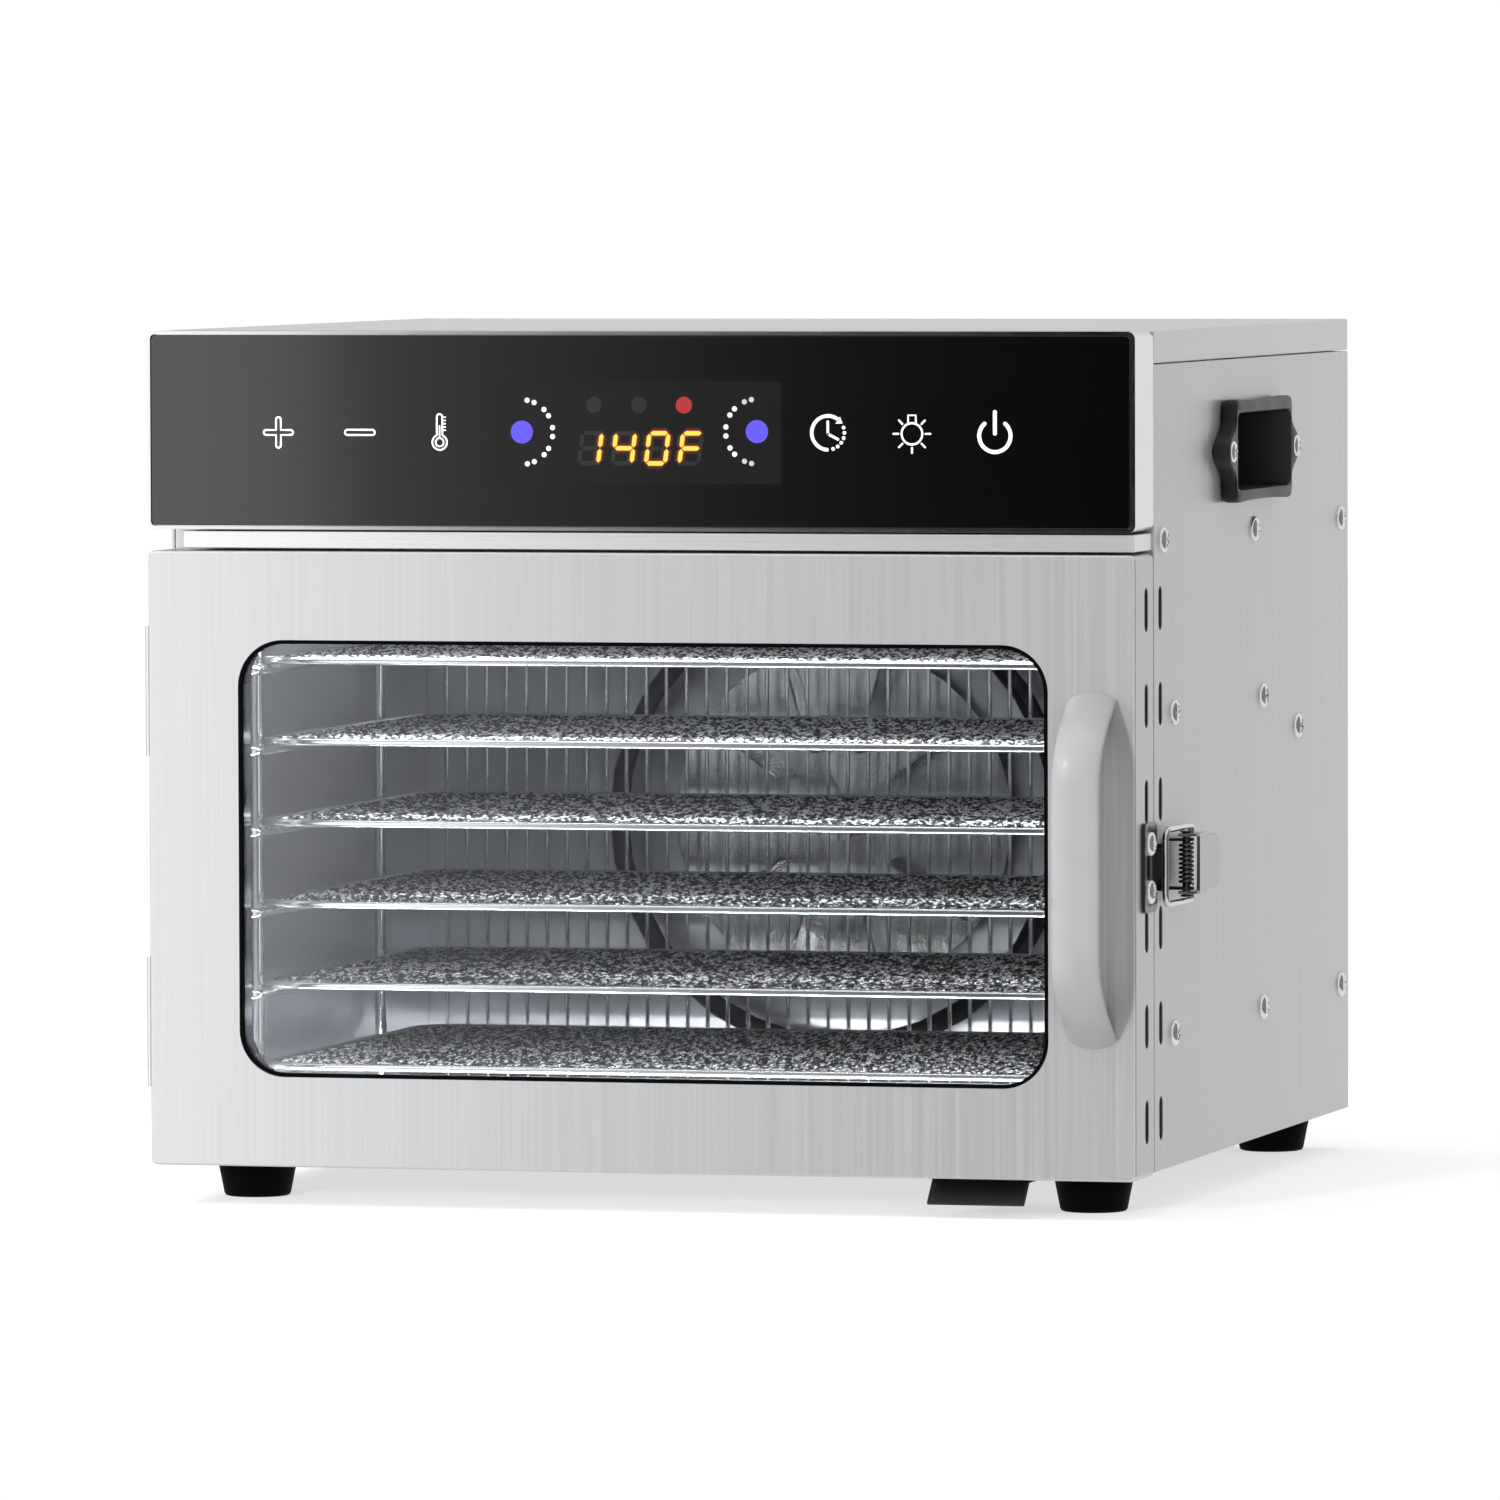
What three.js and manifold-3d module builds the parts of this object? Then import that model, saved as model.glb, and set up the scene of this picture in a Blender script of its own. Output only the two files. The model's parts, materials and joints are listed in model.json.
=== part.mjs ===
// Countertop food dehydrator: a steel cabinet with a glazed, left-hung door, six pull-out wire trays,
// a rear convection fan with a ring heater, a glass touch panel across the top and a draw latch on the
// right side. Millimetres, +Z up. While building, x = 0 is the cabinet's middle plane, y = 0 is the
// plane where door and cabinet meet (the door is at -Y) and z = 0 is the table. The last lines move
// the origin to the middle of the bounding box's underside.
import * as THREE from "three";
import { mergeVertices } from "three/addons/utils/BufferGeometryUtils.js";
import Module from "manifold-3d";

const wasm = await Module();
wasm.setup();

// ---------- driving dimensions ----------

const gap = 0.3; // clearance between pieces that touch
const sheet = 1.2; // outer sheet metal
const liner = 1.0; // inner sheet metal

const cabinet = { half: 195, front: 0.5, rear: 341.5, bottom: 16.5, top: 336 };
const lidFlange = 12.5;
const rearFlange = 15;

const door = { front: -30, back: -0.8, bottom: 15, top: 251.7, corner: 2.5 };
const pane = { left: -159, right: 161, bottom: 49.6, top: 217.6, corner: 18 };
const glassBack = -23.4;
const glassThickness = 4;
const sealWidth = 3.5;

const panel = { bottom: 260, top: 336, corner: 3, wall: 1.2, glass: 3 };
const display = { left: -57.7, right: 57.2, bottom: 278, top: 317, back: -18 };
const header = { left: -181, right: 194.3, front: -29, bottom: 252.8, top: 259.3 };

const cavity = { half: 178, bottom: 24, top: 246, back: 290 };
const tray = { count: 6, half: 166, front: 10, back: 240, corner: 20, rim: 3, mesh: 1 };
const lowestRimTop = 52.2;
const trayPitch = 31.46;
const rack = { post: 2.5, postX: 173, postY: [40, 205], rail: 2, railX: 164, front: 8, back: 242 };

const slot = { width: 6, length: 16.7, pitch: 36.3, upper: 230.5, lower: 109, bodyY: 11, doorY: -12 };

const grip = { x: 178.4, width: 18.8, bottom: 65.2, top: 200.2, reach: 31, thick: 6 };

const hinge = { offset: 3.5, radius: 3.2, leaf: 1.6, reach: 28, half: 25, middle: 8.2, pin: 1.5 };
const hingeHeights = { lower: 70, upper: 197.5 };

const latch = { z: 132.7, pivotOut: 7, pivotY: 24, wireY: 32, legZ: 14.2, wire: 1.25 };
const bailFront = { y: -3, out: 5.2 };

const cup = { y: 161, z: 287.6, half: 49, height: 20.1, ear: 64, proud: 6.7, depth: 25, wall: 1.6 };
const cupScrew = { y: 55.5, radius: 4, head: 1.6 };
const cupMouth = { half: 46, bottom: -15.1, top: 14.7 };

const foot = { x: 167, front: 18, rear: 324, top: 15.75, bottom: 13 };

const fan = { z: 135, radius: 70, blades: 10, front: 263, disc: 279, shaft: 3, heater: 92 };
const guard = { y: 254, bar: 3, wire: 1.6, pitch: 8.4, wires: 39, bottom: 30, top: 240 };
const inlet = { x: -140, z: 292, half: 14.5, height: 10.5, mouthHalf: 12.2, mouthHeight: 8.2, depth: 15 };

// ---------- finishes ----------

const finishes = {
  brushedSteel: { color: 0xb9bbbd, roughness: 0.36, metalness: 0.95 },
  polishedSteel: { color: 0xd4d6d8, roughness: 0.14, metalness: 1.0 },
  galvanised: { color: 0x9ea2a5, roughness: 0.5, metalness: 0.85 },
  blackGlass: { color: 0x08090a, roughness: 0.08, metalness: 0.0 },
  clearGlass: { color: 0xdfe8ec, roughness: 0.04, metalness: 0.0, transparent: true, opacity: 0.25 },
  blackPlastic: { color: 0x1b1c1e, roughness: 0.45, metalness: 0.0 },
  blackRubber: { color: 0x121212, roughness: 0.8, metalness: 0.0 },
  paleSilicone: { color: 0xc9c8c4, roughness: 0.7, metalness: 0.0 },
  silverPaint: { color: 0xb4b6b9, roughness: 0.4, metalness: 0.5 },
  darkMetal: { color: 0x2a2b2d, roughness: 0.45, metalness: 0.7 },
  circuitBoard: { color: 0x1d5a34, roughness: 0.55, metalness: 0.1 },
};

// ---------- shape helpers ----------

const X = new THREE.Vector3(1, 0, 0);
const Y = new THREE.Vector3(0, 1, 0);
const Z = new THREE.Vector3(0, 0, 1);

// A box between two values on each axis, in either order.
function block(xs, ys, zs) {
  const size = [xs, ys, zs].map(([a, b]) => Math.abs(b - a));
  const middle = [xs, ys, zs].map(([a, b]) => (a + b) / 2);
  return new THREE.BoxGeometry(...size).translate(...middle);
}

// A shape pushed along an axis between two values. Shapes are drawn in (y, z) for x, (x, z) for y
// and (x, y) for z. A quarter arc gets twice curveSegments edges.
function extrude(axis, shape, from, to, curveSegments = 3) {
  const made = new THREE.ExtrudeGeometry(shape, { depth: to - from, bevelEnabled: false, curveSegments });
  if (axis === "z") return made.translate(0, 0, from);
  if (axis === "x") {
    return made.applyMatrix4(new THREE.Matrix4().makeBasis(Y, Z, X)).translate(from, 0, 0);
  }
  return made.applyMatrix4(new THREE.Matrix4().makeBasis(X, Z, Y.clone().negate())).translate(0, to, 0);
}

function roundedRect(u0, u1, v0, v1, r) {
  const s = new THREE.Shape();
  s.absarc(u1 - r, v0 + r, r, -Math.PI / 2, 0);
  s.absarc(u1 - r, v1 - r, r, 0, Math.PI / 2);
  s.absarc(u0 + r, v1 - r, r, Math.PI / 2, Math.PI);
  s.absarc(u0 + r, v0 + r, r, Math.PI, (3 * Math.PI) / 2);
  s.closePath();
  return s;
}

// The outline of a box given as { left, right, bottom, top, corner }, grown by a margin.
function outline(b, grow = 0) {
  return roundedRect(b.left - grow, b.right + grow, b.bottom - grow, b.top + grow, b.corner + grow);
}

// A cylinder along an axis through (a, b), the other two coordinates in x, y, z order.
function rod(axis, a, b, radius, from, to, sides = 16) {
  const made = new THREE.CylinderGeometry(radius, radius, to - from, sides);
  const middle = (from + to) / 2;
  if (axis === "x") return made.rotateZ(-Math.PI / 2).translate(middle, a, b);
  if (axis === "y") return made.translate(a, middle, b);
  return made.rotateX(Math.PI / 2).translate(a, b, middle);
}

function polygon(points) {
  return new THREE.Shape(points.map(([u, v]) => new THREE.Vector2(u, v)));
}

// A round wire along a curve.
function wireAlong(curve, radius, steps, sides = 8) {
  const section = new THREE.Shape();
  section.absarc(0, 0, radius, 0, 2 * Math.PI);
  const options = { steps, extrudePath: curve, curveSegments: sides / 2, bevelEnabled: false };
  return new THREE.ExtrudeGeometry(section, options);
}

// ---------- joining and cutting ----------

function toSolid(geometry) {
  const bare = geometry.clone();
  bare.deleteAttribute("normal");
  bare.deleteAttribute("uv");
  const merged = mergeVertices(bare, 1e-4);
  return new wasm.Manifold(
    new wasm.Mesh({
      numProp: 3,
      vertProperties: merged.attributes.position.array,
      triVerts: new Uint32Array(merged.index.array),
    }),
  );
}

function toGeometry(solid) {
  const mesh = solid.getMesh();
  const made = new THREE.BufferGeometry();
  made.setAttribute("position", new THREE.BufferAttribute(mesh.vertProperties, 3));
  made.setIndex(new THREE.BufferAttribute(mesh.triVerts, 1));
  return made;
}

function join(...pieces) {
  return toGeometry(pieces.map(toSolid).reduce((whole, piece) => whole.add(piece)));
}

function cut(base, ...tools) {
  return toGeometry(tools.map(toSolid).reduce((whole, tool) => whole.subtract(tool), toSolid(base)));
}

// ---------- scene ----------

const dehydrator = new THREE.Group();

function add(name, geometry, finish, parent = dehydrator) {
  geometry.computeVertexNormals();
  const mesh = new THREE.Mesh(geometry, new THREE.MeshStandardMaterial(finishes[finish]));
  mesh.name = name;
  parent.add(mesh);
  return mesh;
}

function groupAt(x, y, z, turn = 0) {
  const group = new THREE.Group();
  group.position.set(x, y, z);
  group.rotation.z = turn;
  dehydrator.add(group);
  return group;
}

const inner = cabinet.half - sheet; // inside face of the side sheets
const fitted = inner - gap; // half width of what sits between the side sheets
const underLid = cabinet.top - lidFlange - 0.5;

// Two groups of three upright vent slots, leaving room for the latch between them.
const slotHeights = [slot.upper, slot.lower].flatMap((top) => [0, 1, 2].map((i) => top - i * slot.pitch));

function ventSlot(y, z, from, to) {
  const [w, h] = [slot.width / 2, slot.length / 2];
  return extrude("x", roundedRect(y - w, y + w, z - h, z + h, w - 0.01), from, to, 2);
}

// ---------- cabinet shells ----------

function sidePanel(side) {
  const zs = [cabinet.bottom, underLid];
  const wall = block([side * inner, side * cabinet.half], [cabinet.front, cabinet.rear], zs);
  const flangeY = [cabinet.rear - 2 * sheet - 0.5, cabinet.rear - sheet - 0.5];
  const flange = block([side * (inner - rearFlange), side * (inner + sheet / 2)], flangeY, zs);
  const [from, to] = [side * inner - 5, side * inner + 5];
  const hingeClearance = hinge.half + slot.length / 2;
  const farFromHinge = (z) => Object.values(hingeHeights).every((h) => Math.abs(z - h) > hingeClearance);
  const clearOfHinges = (z) => side > 0 || farFromHinge(z);
  const slots = slotHeights.filter(clearOfHinges).map((z) => ventSlot(slot.bodyY, z, from, to));
  const edge = cup.wall + 0.4;
  const mouth = roundedRect(
    cup.y - cupMouth.half - edge,
    cup.y + cupMouth.half + edge,
    cup.z + cupMouth.bottom - edge,
    cup.z + cupMouth.top + edge,
    4,
  );
  return cut(join(wall, flange), ...slots, extrude("x", mouth, from, to));
}

function topCover() {
  const [front, rear] = [cabinet.front, cabinet.rear];
  const bottom = cabinet.top - lidFlange;
  const outer = block([-cabinet.half, cabinet.half], [front, rear], [bottom, cabinet.top]);
  const hollow = block([-inner, inner], [front + sheet, rear - sheet], [bottom - 5, cabinet.top - sheet]);
  return cut(outer, hollow);
}

function basePanel() {
  const ys = [cabinet.front + sheet + 0.5, cabinet.rear - 2 * sheet - 0.5 - 0.4];
  const bottom = cabinet.bottom;
  const plate = block([-fitted, fitted], ys, [bottom, bottom + sheet]);
  const lip = (side) => block([side * fitted, side * (fitted - sheet)], ys, [bottom, bottom + 11]);
  return join(plate, lip(-1), lip(1));
}

function rearPanel() {
  const back = cabinet.rear - 0.2;
  const plate = block([-fitted, fitted], [back - sheet, back], [cabinet.bottom, underLid]);
  const [columns, rows, length, height] = [[-70, 70], 5, 84, 6];
  const louvre = (x, z) => {
    const shape = roundedRect(x - length / 2, x + length / 2, z, z + height, height / 2 - 0.01);
    return extrude("y", shape, back - 5, back + 5, 2);
  };
  const louvres = columns.flatMap((x) => Array.from({ length: rows }, (_, i) => louvre(x, 90 + i * 15)));
  const edge = 0.5;
  const hole = block(
    [inlet.x - inlet.half - edge, inlet.x + inlet.half + edge],
    [back - 5, back + 5],
    [inlet.z - inlet.height - edge, inlet.z + inlet.height + edge],
  );
  return cut(plate, ...louvres, hole);
}

function frontFrame() {
  const ys = [cabinet.front, cabinet.front + sheet];
  const plate = block([-fitted, fitted], ys, [cabinet.bottom + gap, underLid]);
  const mouth = roundedRect(-cavity.half, cavity.half, cavity.bottom, cavity.top, 6);
  const wiring = roundedRect(-150, 150, panel.bottom + 10, panel.top - 24, 6);
  const through = (shape) => extrude("y", shape, cabinet.front - 3, cabinet.front + 5);
  return cut(plate, through(mouth), through(wiring));
}

add("left_side_panel", sidePanel(-1), "brushedSteel");
add("right_side_panel", sidePanel(1), "brushedSteel");
add("top_cover", topCover(), "brushedSteel");
add("base_panel", basePanel(), "galvanised");
add("rear_panel", rearPanel(), "brushedSteel");
add("front_frame", frontFrame(), "brushedSteel");

// ---------- drying cavity ----------

const cavityFront = cabinet.front + sheet + 0.4;
const cavityDepth = [cavityFront, cavity.back - 0.4];
const wallOuter = cavity.half + gap + liner;

function cavityWall(side) {
  return block([side * (cavity.half + gap), side * wallOuter], cavityDepth, [cavity.bottom, cavity.top]);
}

function rearBaffle() {
  const ys = [cavity.back, cavity.back + liner];
  const plate = block([-wallOuter, wallOuter], ys, [cavity.bottom - gap - liner, cavity.top + gap + liner]);
  const shaftHole = rod("y", 0, fan.z, fan.shaft + 2, cavity.back - 5, cavity.back + 5);
  const lead = (x) => rod("y", x, fan.z + fan.heater, 5, cavity.back - 5, cavity.back + 5, 12);
  return cut(plate, shaftHole, lead(-12), lead(12));
}

function fanGuard() {
  const ys = [guard.y, guard.y + guard.bar];
  const bar = (z) => block([-cavity.half, cavity.half], ys, [z, z + guard.bar]);
  const middle = guard.y + guard.bar / 2;
  const wires = Array.from({ length: guard.wires }, (_, i) => {
    const x = (i - (guard.wires - 1) / 2) * guard.pitch;
    const half = guard.wire / 2;
    return block([x - half, x + half], [middle - half, middle + half], [guard.bottom + 1, guard.top - 1]);
  });
  return join(bar(guard.bottom), bar(guard.top - guard.bar), ...wires);
}

const trayLevels = Array.from({ length: tray.count }, (_, i) => lowestRimTop + i * trayPitch);

// Two posts carrying one rail under each tray's rim.
function trayRack(side) {
  const railHeight = (rimTop) => rimTop - tray.rim - gap - rack.rail;
  const posts = rack.postY.map((y) =>
    rod("z", side * rack.postX, y, rack.post, cavity.bottom, cavity.top, 6),
  );
  const rails = trayLevels.map((level) =>
    rod("y", side * rack.railX, railHeight(level), rack.rail, rack.front, rack.back, 6),
  );
  const ends = [side * rack.railX, side * rack.postX].sort((a, b) => a - b);
  const stubs = trayLevels.flatMap((level) =>
    rack.postY.map((y) => rod("x", y, railHeight(level), rack.rail - 0.4, ...ends, 5)),
  );
  return join(...posts, ...rails, ...stubs);
}

function trayBody() {
  const { half, front, back, corner } = tray;
  const edge = { left: -half, right: half, bottom: front, top: back, corner };
  const inside = extrude("z", outline(edge, -tray.rim), -1, tray.rim + 1, 2);
  const rim = cut(extrude("z", outline(edge), 0, tray.rim, 2), inside);
  return join(rim, extrude("z", outline(edge, -tray.rim / 2), 1, 1 + tray.mesh, 2));
}

add("cavity_left_wall", cavityWall(-1), "polishedSteel");
add("cavity_right_wall", cavityWall(1), "polishedSteel");
const acrossCavity = [-wallOuter, wallOuter];
const ceiling = [cavity.top + gap, cavity.top + gap + liner];
const floor = [cavity.bottom - gap - liner, cavity.bottom - gap];
add("cavity_ceiling", block(acrossCavity, cavityDepth, ceiling), "polishedSteel");
add("cavity_floor", block(acrossCavity, cavityDepth, floor), "polishedSteel");
add("rear_baffle", rearBaffle(), "polishedSteel");
add("fan_guard", fanGuard(), "polishedSteel");
add("left_tray_rack", trayRack(-1), "polishedSteel");
add("right_tray_rack", trayRack(1), "polishedSteel");
trayLevels.forEach((level, i) => {
  add(`tray_${i + 1}`, trayBody(), "polishedSteel").position.z = level - tray.rim;
});

// ---------- fan, heater and sensors ----------

function impeller() {
  const disc = rod("y", 0, 0, fan.radius, fan.disc, fan.disc + sheet, 40);
  const hub = rod("y", 0, 0, 9, fan.front, fan.disc + 0.5, 20);
  const blades = Array.from({ length: fan.blades }, (_, i) => {
    const blade = block([fan.radius * 0.4, fan.radius - 2], [fan.front, fan.disc + 0.5], [-0.6, 0.6]);
    return blade.rotateY((2 * Math.PI * i) / fan.blades);
  });
  const bore = rod("y", 0, 0, fan.shaft + gap, fan.front - 5, fan.disc + 10);
  return cut(join(disc, hub, ...blades), bore);
}

function heaterRing() {
  const ring = new THREE.TorusGeometry(fan.heater, 4, 8, 32).rotateX(Math.PI / 2);
  const lead = (x) => rod("y", x, Math.sqrt(fan.heater ** 2 - x ** 2), 3, 0, 34, 8);
  return join(ring, lead(-12), lead(12)).translate(0, 272, fan.z);
}

function fanMotor() {
  const can = rod("y", 0, 0, 32, cavity.back + liner + 4, cavity.back + 44, 28);
  const mount = block([-38, 38], [cavity.back + liner + gap, cavity.back + liner + 4.5], [-12, 12]);
  const bore = rod("y", 0, 0, fan.shaft + gap, cavity.back, cavity.back + 16);
  return cut(join(can, mount), bore);
}

const fanGroup = groupAt(0, 0, fan.z);
add("fan_impeller", impeller(), "polishedSteel", fanGroup);
add("fan_shaft", rod("y", 0, 0, fan.shaft, fan.front - 3, cavity.back + 14), "polishedSteel", fanGroup);
add("fan_motor", fanMotor(), "galvanised", fanGroup);
add("heater_ring", heaterRing(), "darkMetal");
add("temperature_sensor", rod("z", 120, 247, 2.2, 226, cavity.top), "polishedSteel");
add("cavity_lamp", rod("z", -110, 200, 16, 237, cavity.top, 24), "clearGlass");

// ---------- controls ----------

function controlBezel() {
  const face = { left: -cabinet.half, right: cabinet.half, ...panel };
  const ys = [door.front + 0.4, cabinet.front - gap];
  const frame = cut(extrude("y", outline(face), ...ys), extrude("y", outline(face, -panel.wall), -60, 10));
  const ledgeY = [door.front + panel.glass + gap, door.front + panel.glass + gap + sheet];
  const ledge = extrude("y", outline(face, -panel.wall / 2), ...ledgeY);
  const hole = block([-184, 184], [-60, 10], [panel.bottom + 10, panel.top - 10]);
  return join(frame, cut(ledge, hole));
}

function controlGlass() {
  const inset = panel.wall + gap;
  const side = cabinet.half - inset;
  const face = roundedRect(-side, side, panel.bottom + inset, panel.top - inset, 2);
  return extrude("y", face, door.front, door.front + panel.glass);
}

function headerStrip() {
  const ys = [header.front, cabinet.front - gap];
  const outer = block([header.left, header.right], ys, [header.bottom, header.top]);
  const hollow = block(
    [header.left + 1, header.right - 1],
    [header.front + 1, cabinet.front + 5],
    [header.bottom + 1, header.top - 1],
  );
  return cut(outer, hollow);
}

function touchBoard() {
  const board = block([-150, 150], [-26.5, -24.9], [274, 322]);
  const [left, right] = [display.left - 0.5, display.right + 0.5];
  return cut(board, block([left, right], [-40, 0], [display.bottom - 0.5, display.top + 0.5]));
}

function powerBoard() {
  const board = block([-60, 110], [190, 300], [256, 257.6]);
  const transformer = block([-45, 5], [205, 250], [257, 290]);
  const relay = block([40, 62], [215, 245], [257, 275]);
  const capacitor = (x) => rod("z", x, 275, 8, 257, 282, 12);
  return join(board, transformer, relay, capacitor(35), capacitor(60));
}

add("control_bezel", controlBezel(), "polishedSteel");
add("control_glass", controlGlass(), "blackGlass");
const displayDepth = [door.front + panel.glass + gap, display.back];
const displayBlock = block([display.left, display.right], displayDepth, [display.bottom, display.top]);
add("display_module", displayBlock, "blackPlastic");
add("touch_board", touchBoard(), "circuitBoard");
add("power_board", powerBoard(), "circuitBoard");
add("header_strip", headerStrip(), "brushedSteel");

// ---------- door ----------

const doorFace = {
  left: -cabinet.half,
  right: cabinet.half,
  bottom: door.bottom,
  top: door.top,
  corner: door.corner,
};
const glassFront = glassBack - glassThickness;

function doorShell() {
  const box = extrude("y", outline(doorFace), door.front, door.back, 2);
  const hollow = extrude("y", outline(doorFace, -sheet), door.front + sheet, 5, 2);
  const window = extrude("y", outline(pane), door.front - 5, 5, 6);
  const slots = slotHeights.map((z) => ventSlot(slot.doorY, z, inner - 3, inner + 5));
  return cut(box, hollow, window, ...slots);
}

function doorLiner() {
  const back = door.back - gap;
  const plate = extrude("y", outline(doorFace, -sheet - 0.5), back - sheet, back, 2);
  const collar = extrude("y", outline(pane, 5.5), glassBack + gap, back);
  return cut(join(plate, collar), extrude("y", outline(pane, 4), door.front, 5));
}

function windowGasket() {
  const lip = extrude("y", outline(pane, -gap), door.front, glassFront - gap, 6);
  const flange = extrude("y", outline(pane, 5), door.front + sheet + gap, glassFront - gap);
  return cut(join(lip, flange), extrude("y", outline(pane, -1.5), door.front - 5, 5, 6));
}

function doorSeal() {
  const edge = { left: -180.5, right: 180.5, bottom: cavity.bottom - 2, top: cavity.top + 0.3, corner: 5 };
  const ys = [door.back, cabinet.front - gap];
  return cut(extrude("y", outline(edge, sealWidth), ...ys, 2), extrude("y", outline(edge), -5, 5, 2));
}

// A bow: it leaves the door at both ends, and its middle stands clear for the fingers.
function doorHandle() {
  const base = door.front - gap;
  const out = base - grip.reach;
  const under = out + grip.thick;
  const [low, high] = [grip.bottom, grip.top];
  const s = new THREE.Shape();
  s.moveTo(base, low);
  s.bezierCurveTo(base - 12, low + 7, out, low + 19, out, low + 36);
  s.lineTo(out, high - 36);
  s.bezierCurveTo(out, high - 19, base - 12, high - 7, base, high);
  s.lineTo(base, high - 8);
  s.bezierCurveTo(base - 9, high - 13, under, high - 24, under, high - 40);
  s.lineTo(under, low + 40);
  s.bezierCurveTo(under, low + 24, base - 9, low + 13, base, low + 8);
  s.closePath();
  return extrude("x", s, grip.x - grip.width / 2, grip.x + grip.width / 2, 7);
}

add("door_shell", doorShell(), "brushedSteel");
add("door_liner", doorLiner(), "polishedSteel");
add("door_glass", extrude("y", outline(pane, 5), glassFront, glassBack), "clearGlass");
add("window_gasket", windowGasket(), "blackRubber");
add("door_seal", doorSeal(), "paleSilicone");
add("door_handle", doorHandle(), "silverPaint");

// ---------- hinges ----------

// Leaves and knuckles about a pin on the group's z axis: the cabinet's leaf has the two outer
// knuckles, the door's has the middle one. side is +1 for the cabinet and -1 for the door.
function hingeLeaf(side) {
  const outerKnuckles = [[-hinge.half, -hinge.middle - gap], [hinge.middle + gap, hinge.half]];
  const zs = side > 0 ? outerKnuckles : [[-hinge.middle, hinge.middle]];
  const faceX = [hinge.offset - gap - hinge.leaf, hinge.offset - gap];
  const plate = block(faceX, [side * (hinge.radius + 1), side * hinge.reach], [-hinge.half, hinge.half]);
  const knuckles = zs.flatMap((z) => [
    rod("z", 0, 0, hinge.radius, ...z),
    block(faceX, [0, side * (hinge.radius + 2)], z),
  ]);
  return cut(join(plate, ...knuckles), rod("z", 0, 0, hinge.pin + gap, -40, 40));
}

function hingePin() {
  const end = hinge.half + gap;
  const head = (from, to) => rod("z", 0, 0, 2.6, from, to, 12);
  const shank = rod("z", 0, 0, hinge.pin, -end - 1, end + 1, 12);
  return join(shank, head(end, end + 1.4), head(-end - 1.4, -end));
}

for (const [place, z] of Object.entries(hingeHeights)) {
  const group = groupAt(-cabinet.half - hinge.offset, 0, z);
  add(`${place}_hinge_body_leaf`, hingeLeaf(1), "polishedSteel", group);
  add(`${place}_hinge_door_leaf`, hingeLeaf(-1), "polishedSteel", group);
  add(`${place}_hinge_pin`, hingePin(), "polishedSteel", group);
}

// ---------- draw latch, in a frame with x = 0 on the side sheet and z = 0 at its own middle ----------

const leverPin = [latch.pivotOut, latch.pivotY];
const wirePin = [latch.pivotOut, latch.wireY];

function latchBase() {
  const plate = block([gap, 1.5], [13, 42], [-9.9, 9.9]);
  const cheek = (from, to) => {
    const upright = block([1, latch.pivotOut], [latch.pivotY - 3, latch.pivotY + 3], [from, to]);
    return join(upright, rod("z", ...leverPin, 3, from, to, 20));
  };
  return cut(join(plate, cheek(-9.9, -8.7), cheek(8.7, 9.9)), rod("z", ...leverPin, 1.85, -20, 20));
}

function latchPin() {
  const head = (from, to) => rod("z", ...leverPin, 2.4, from, to);
  return join(rod("z", ...leverPin, 1.5, -12.2, 12.2), head(11.9, 12.6), head(-12.6, -11.9));
}

function latchSpring() {
  return cut(rod("z", ...leverPin, 3, -8.3, 8.3, 20), rod("z", ...leverPin, 1.85, -20, 20));
}

function latchLever() {
  const [y0, y1] = [27.5, 62];
  const thumb = new THREE.Shape();
  thumb.moveTo(y0, -11.6);
  thumb.lineTo(38, -11.6);
  thumb.lineTo(41, -10.2);
  thumb.lineTo(y1 - 7, -10.2);
  thumb.absarc(y1 - 7, -3.2, 7, -Math.PI / 2, 0);
  thumb.absarc(y1 - 7, 3.2, 7, 0, Math.PI / 2);
  thumb.lineTo(41, 10.2);
  thumb.lineTo(38, 11.6);
  thumb.lineTo(y0, 11.6);
  thumb.closePath();
  const plate = extrude("x", thumb, 10.3, 11.5);
  const side = polygon([
    [4, 23],
    [5, 21.3],
    [8, 21],
    [9.6, 22.4],
    [11.5, 27],
    [11.5, 36],
    [10.3, 36],
    [5.5, 35],
    [4, 33],
  ]);
  const holes = [rod("z", ...leverPin, 1.85, -20, 20), rod("z", ...wirePin, 1.6, -20, 20)];
  return cut(join(plate, extrude("z", side, -11.6, -10.4), extrude("z", side, 10.4, 11.6)), ...holes);
}

// One bent wire: in through one cheek, forward, across the front and back to the other cheek.
function latchBail() {
  const at = (out, y, z) => new THREE.Vector3(out, y, z);
  const mix = THREE.MathUtils.lerp;
  const along = (t, z) => at(mix(latch.pivotOut, bailFront.out, t), mix(latch.wireY, bailFront.y, t), z);
  const path = new THREE.CurvePath();
  const half = (side) => [
    at(...wirePin, side * 10.3),
    at(...wirePin, side * 12.2),
    along(0, side * latch.legZ),
    along(0.06, side * latch.legZ),
    along(0.87, side * latch.legZ),
    along(1, side * latch.legZ),
    along(1, side * (latch.legZ - 4.5)),
  ];
  const [low, high] = [half(-1), half(1)];
  path.add(new THREE.LineCurve3(low[0], low[1]));
  path.add(new THREE.QuadraticBezierCurve3(low[1], low[2], low[3]));
  path.add(new THREE.LineCurve3(low[3], low[4]));
  path.add(new THREE.QuadraticBezierCurve3(low[4], low[5], low[6]));
  path.add(new THREE.LineCurve3(low[6], high[6]));
  path.add(new THREE.QuadraticBezierCurve3(high[6], high[5], high[4]));
  path.add(new THREE.LineCurve3(high[4], high[3]));
  path.add(new THREE.QuadraticBezierCurve3(high[3], high[2], high[1]));
  path.add(new THREE.LineCurve3(high[1], high[0]));
  return wireAlong(path, latch.wire, 48);
}

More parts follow.
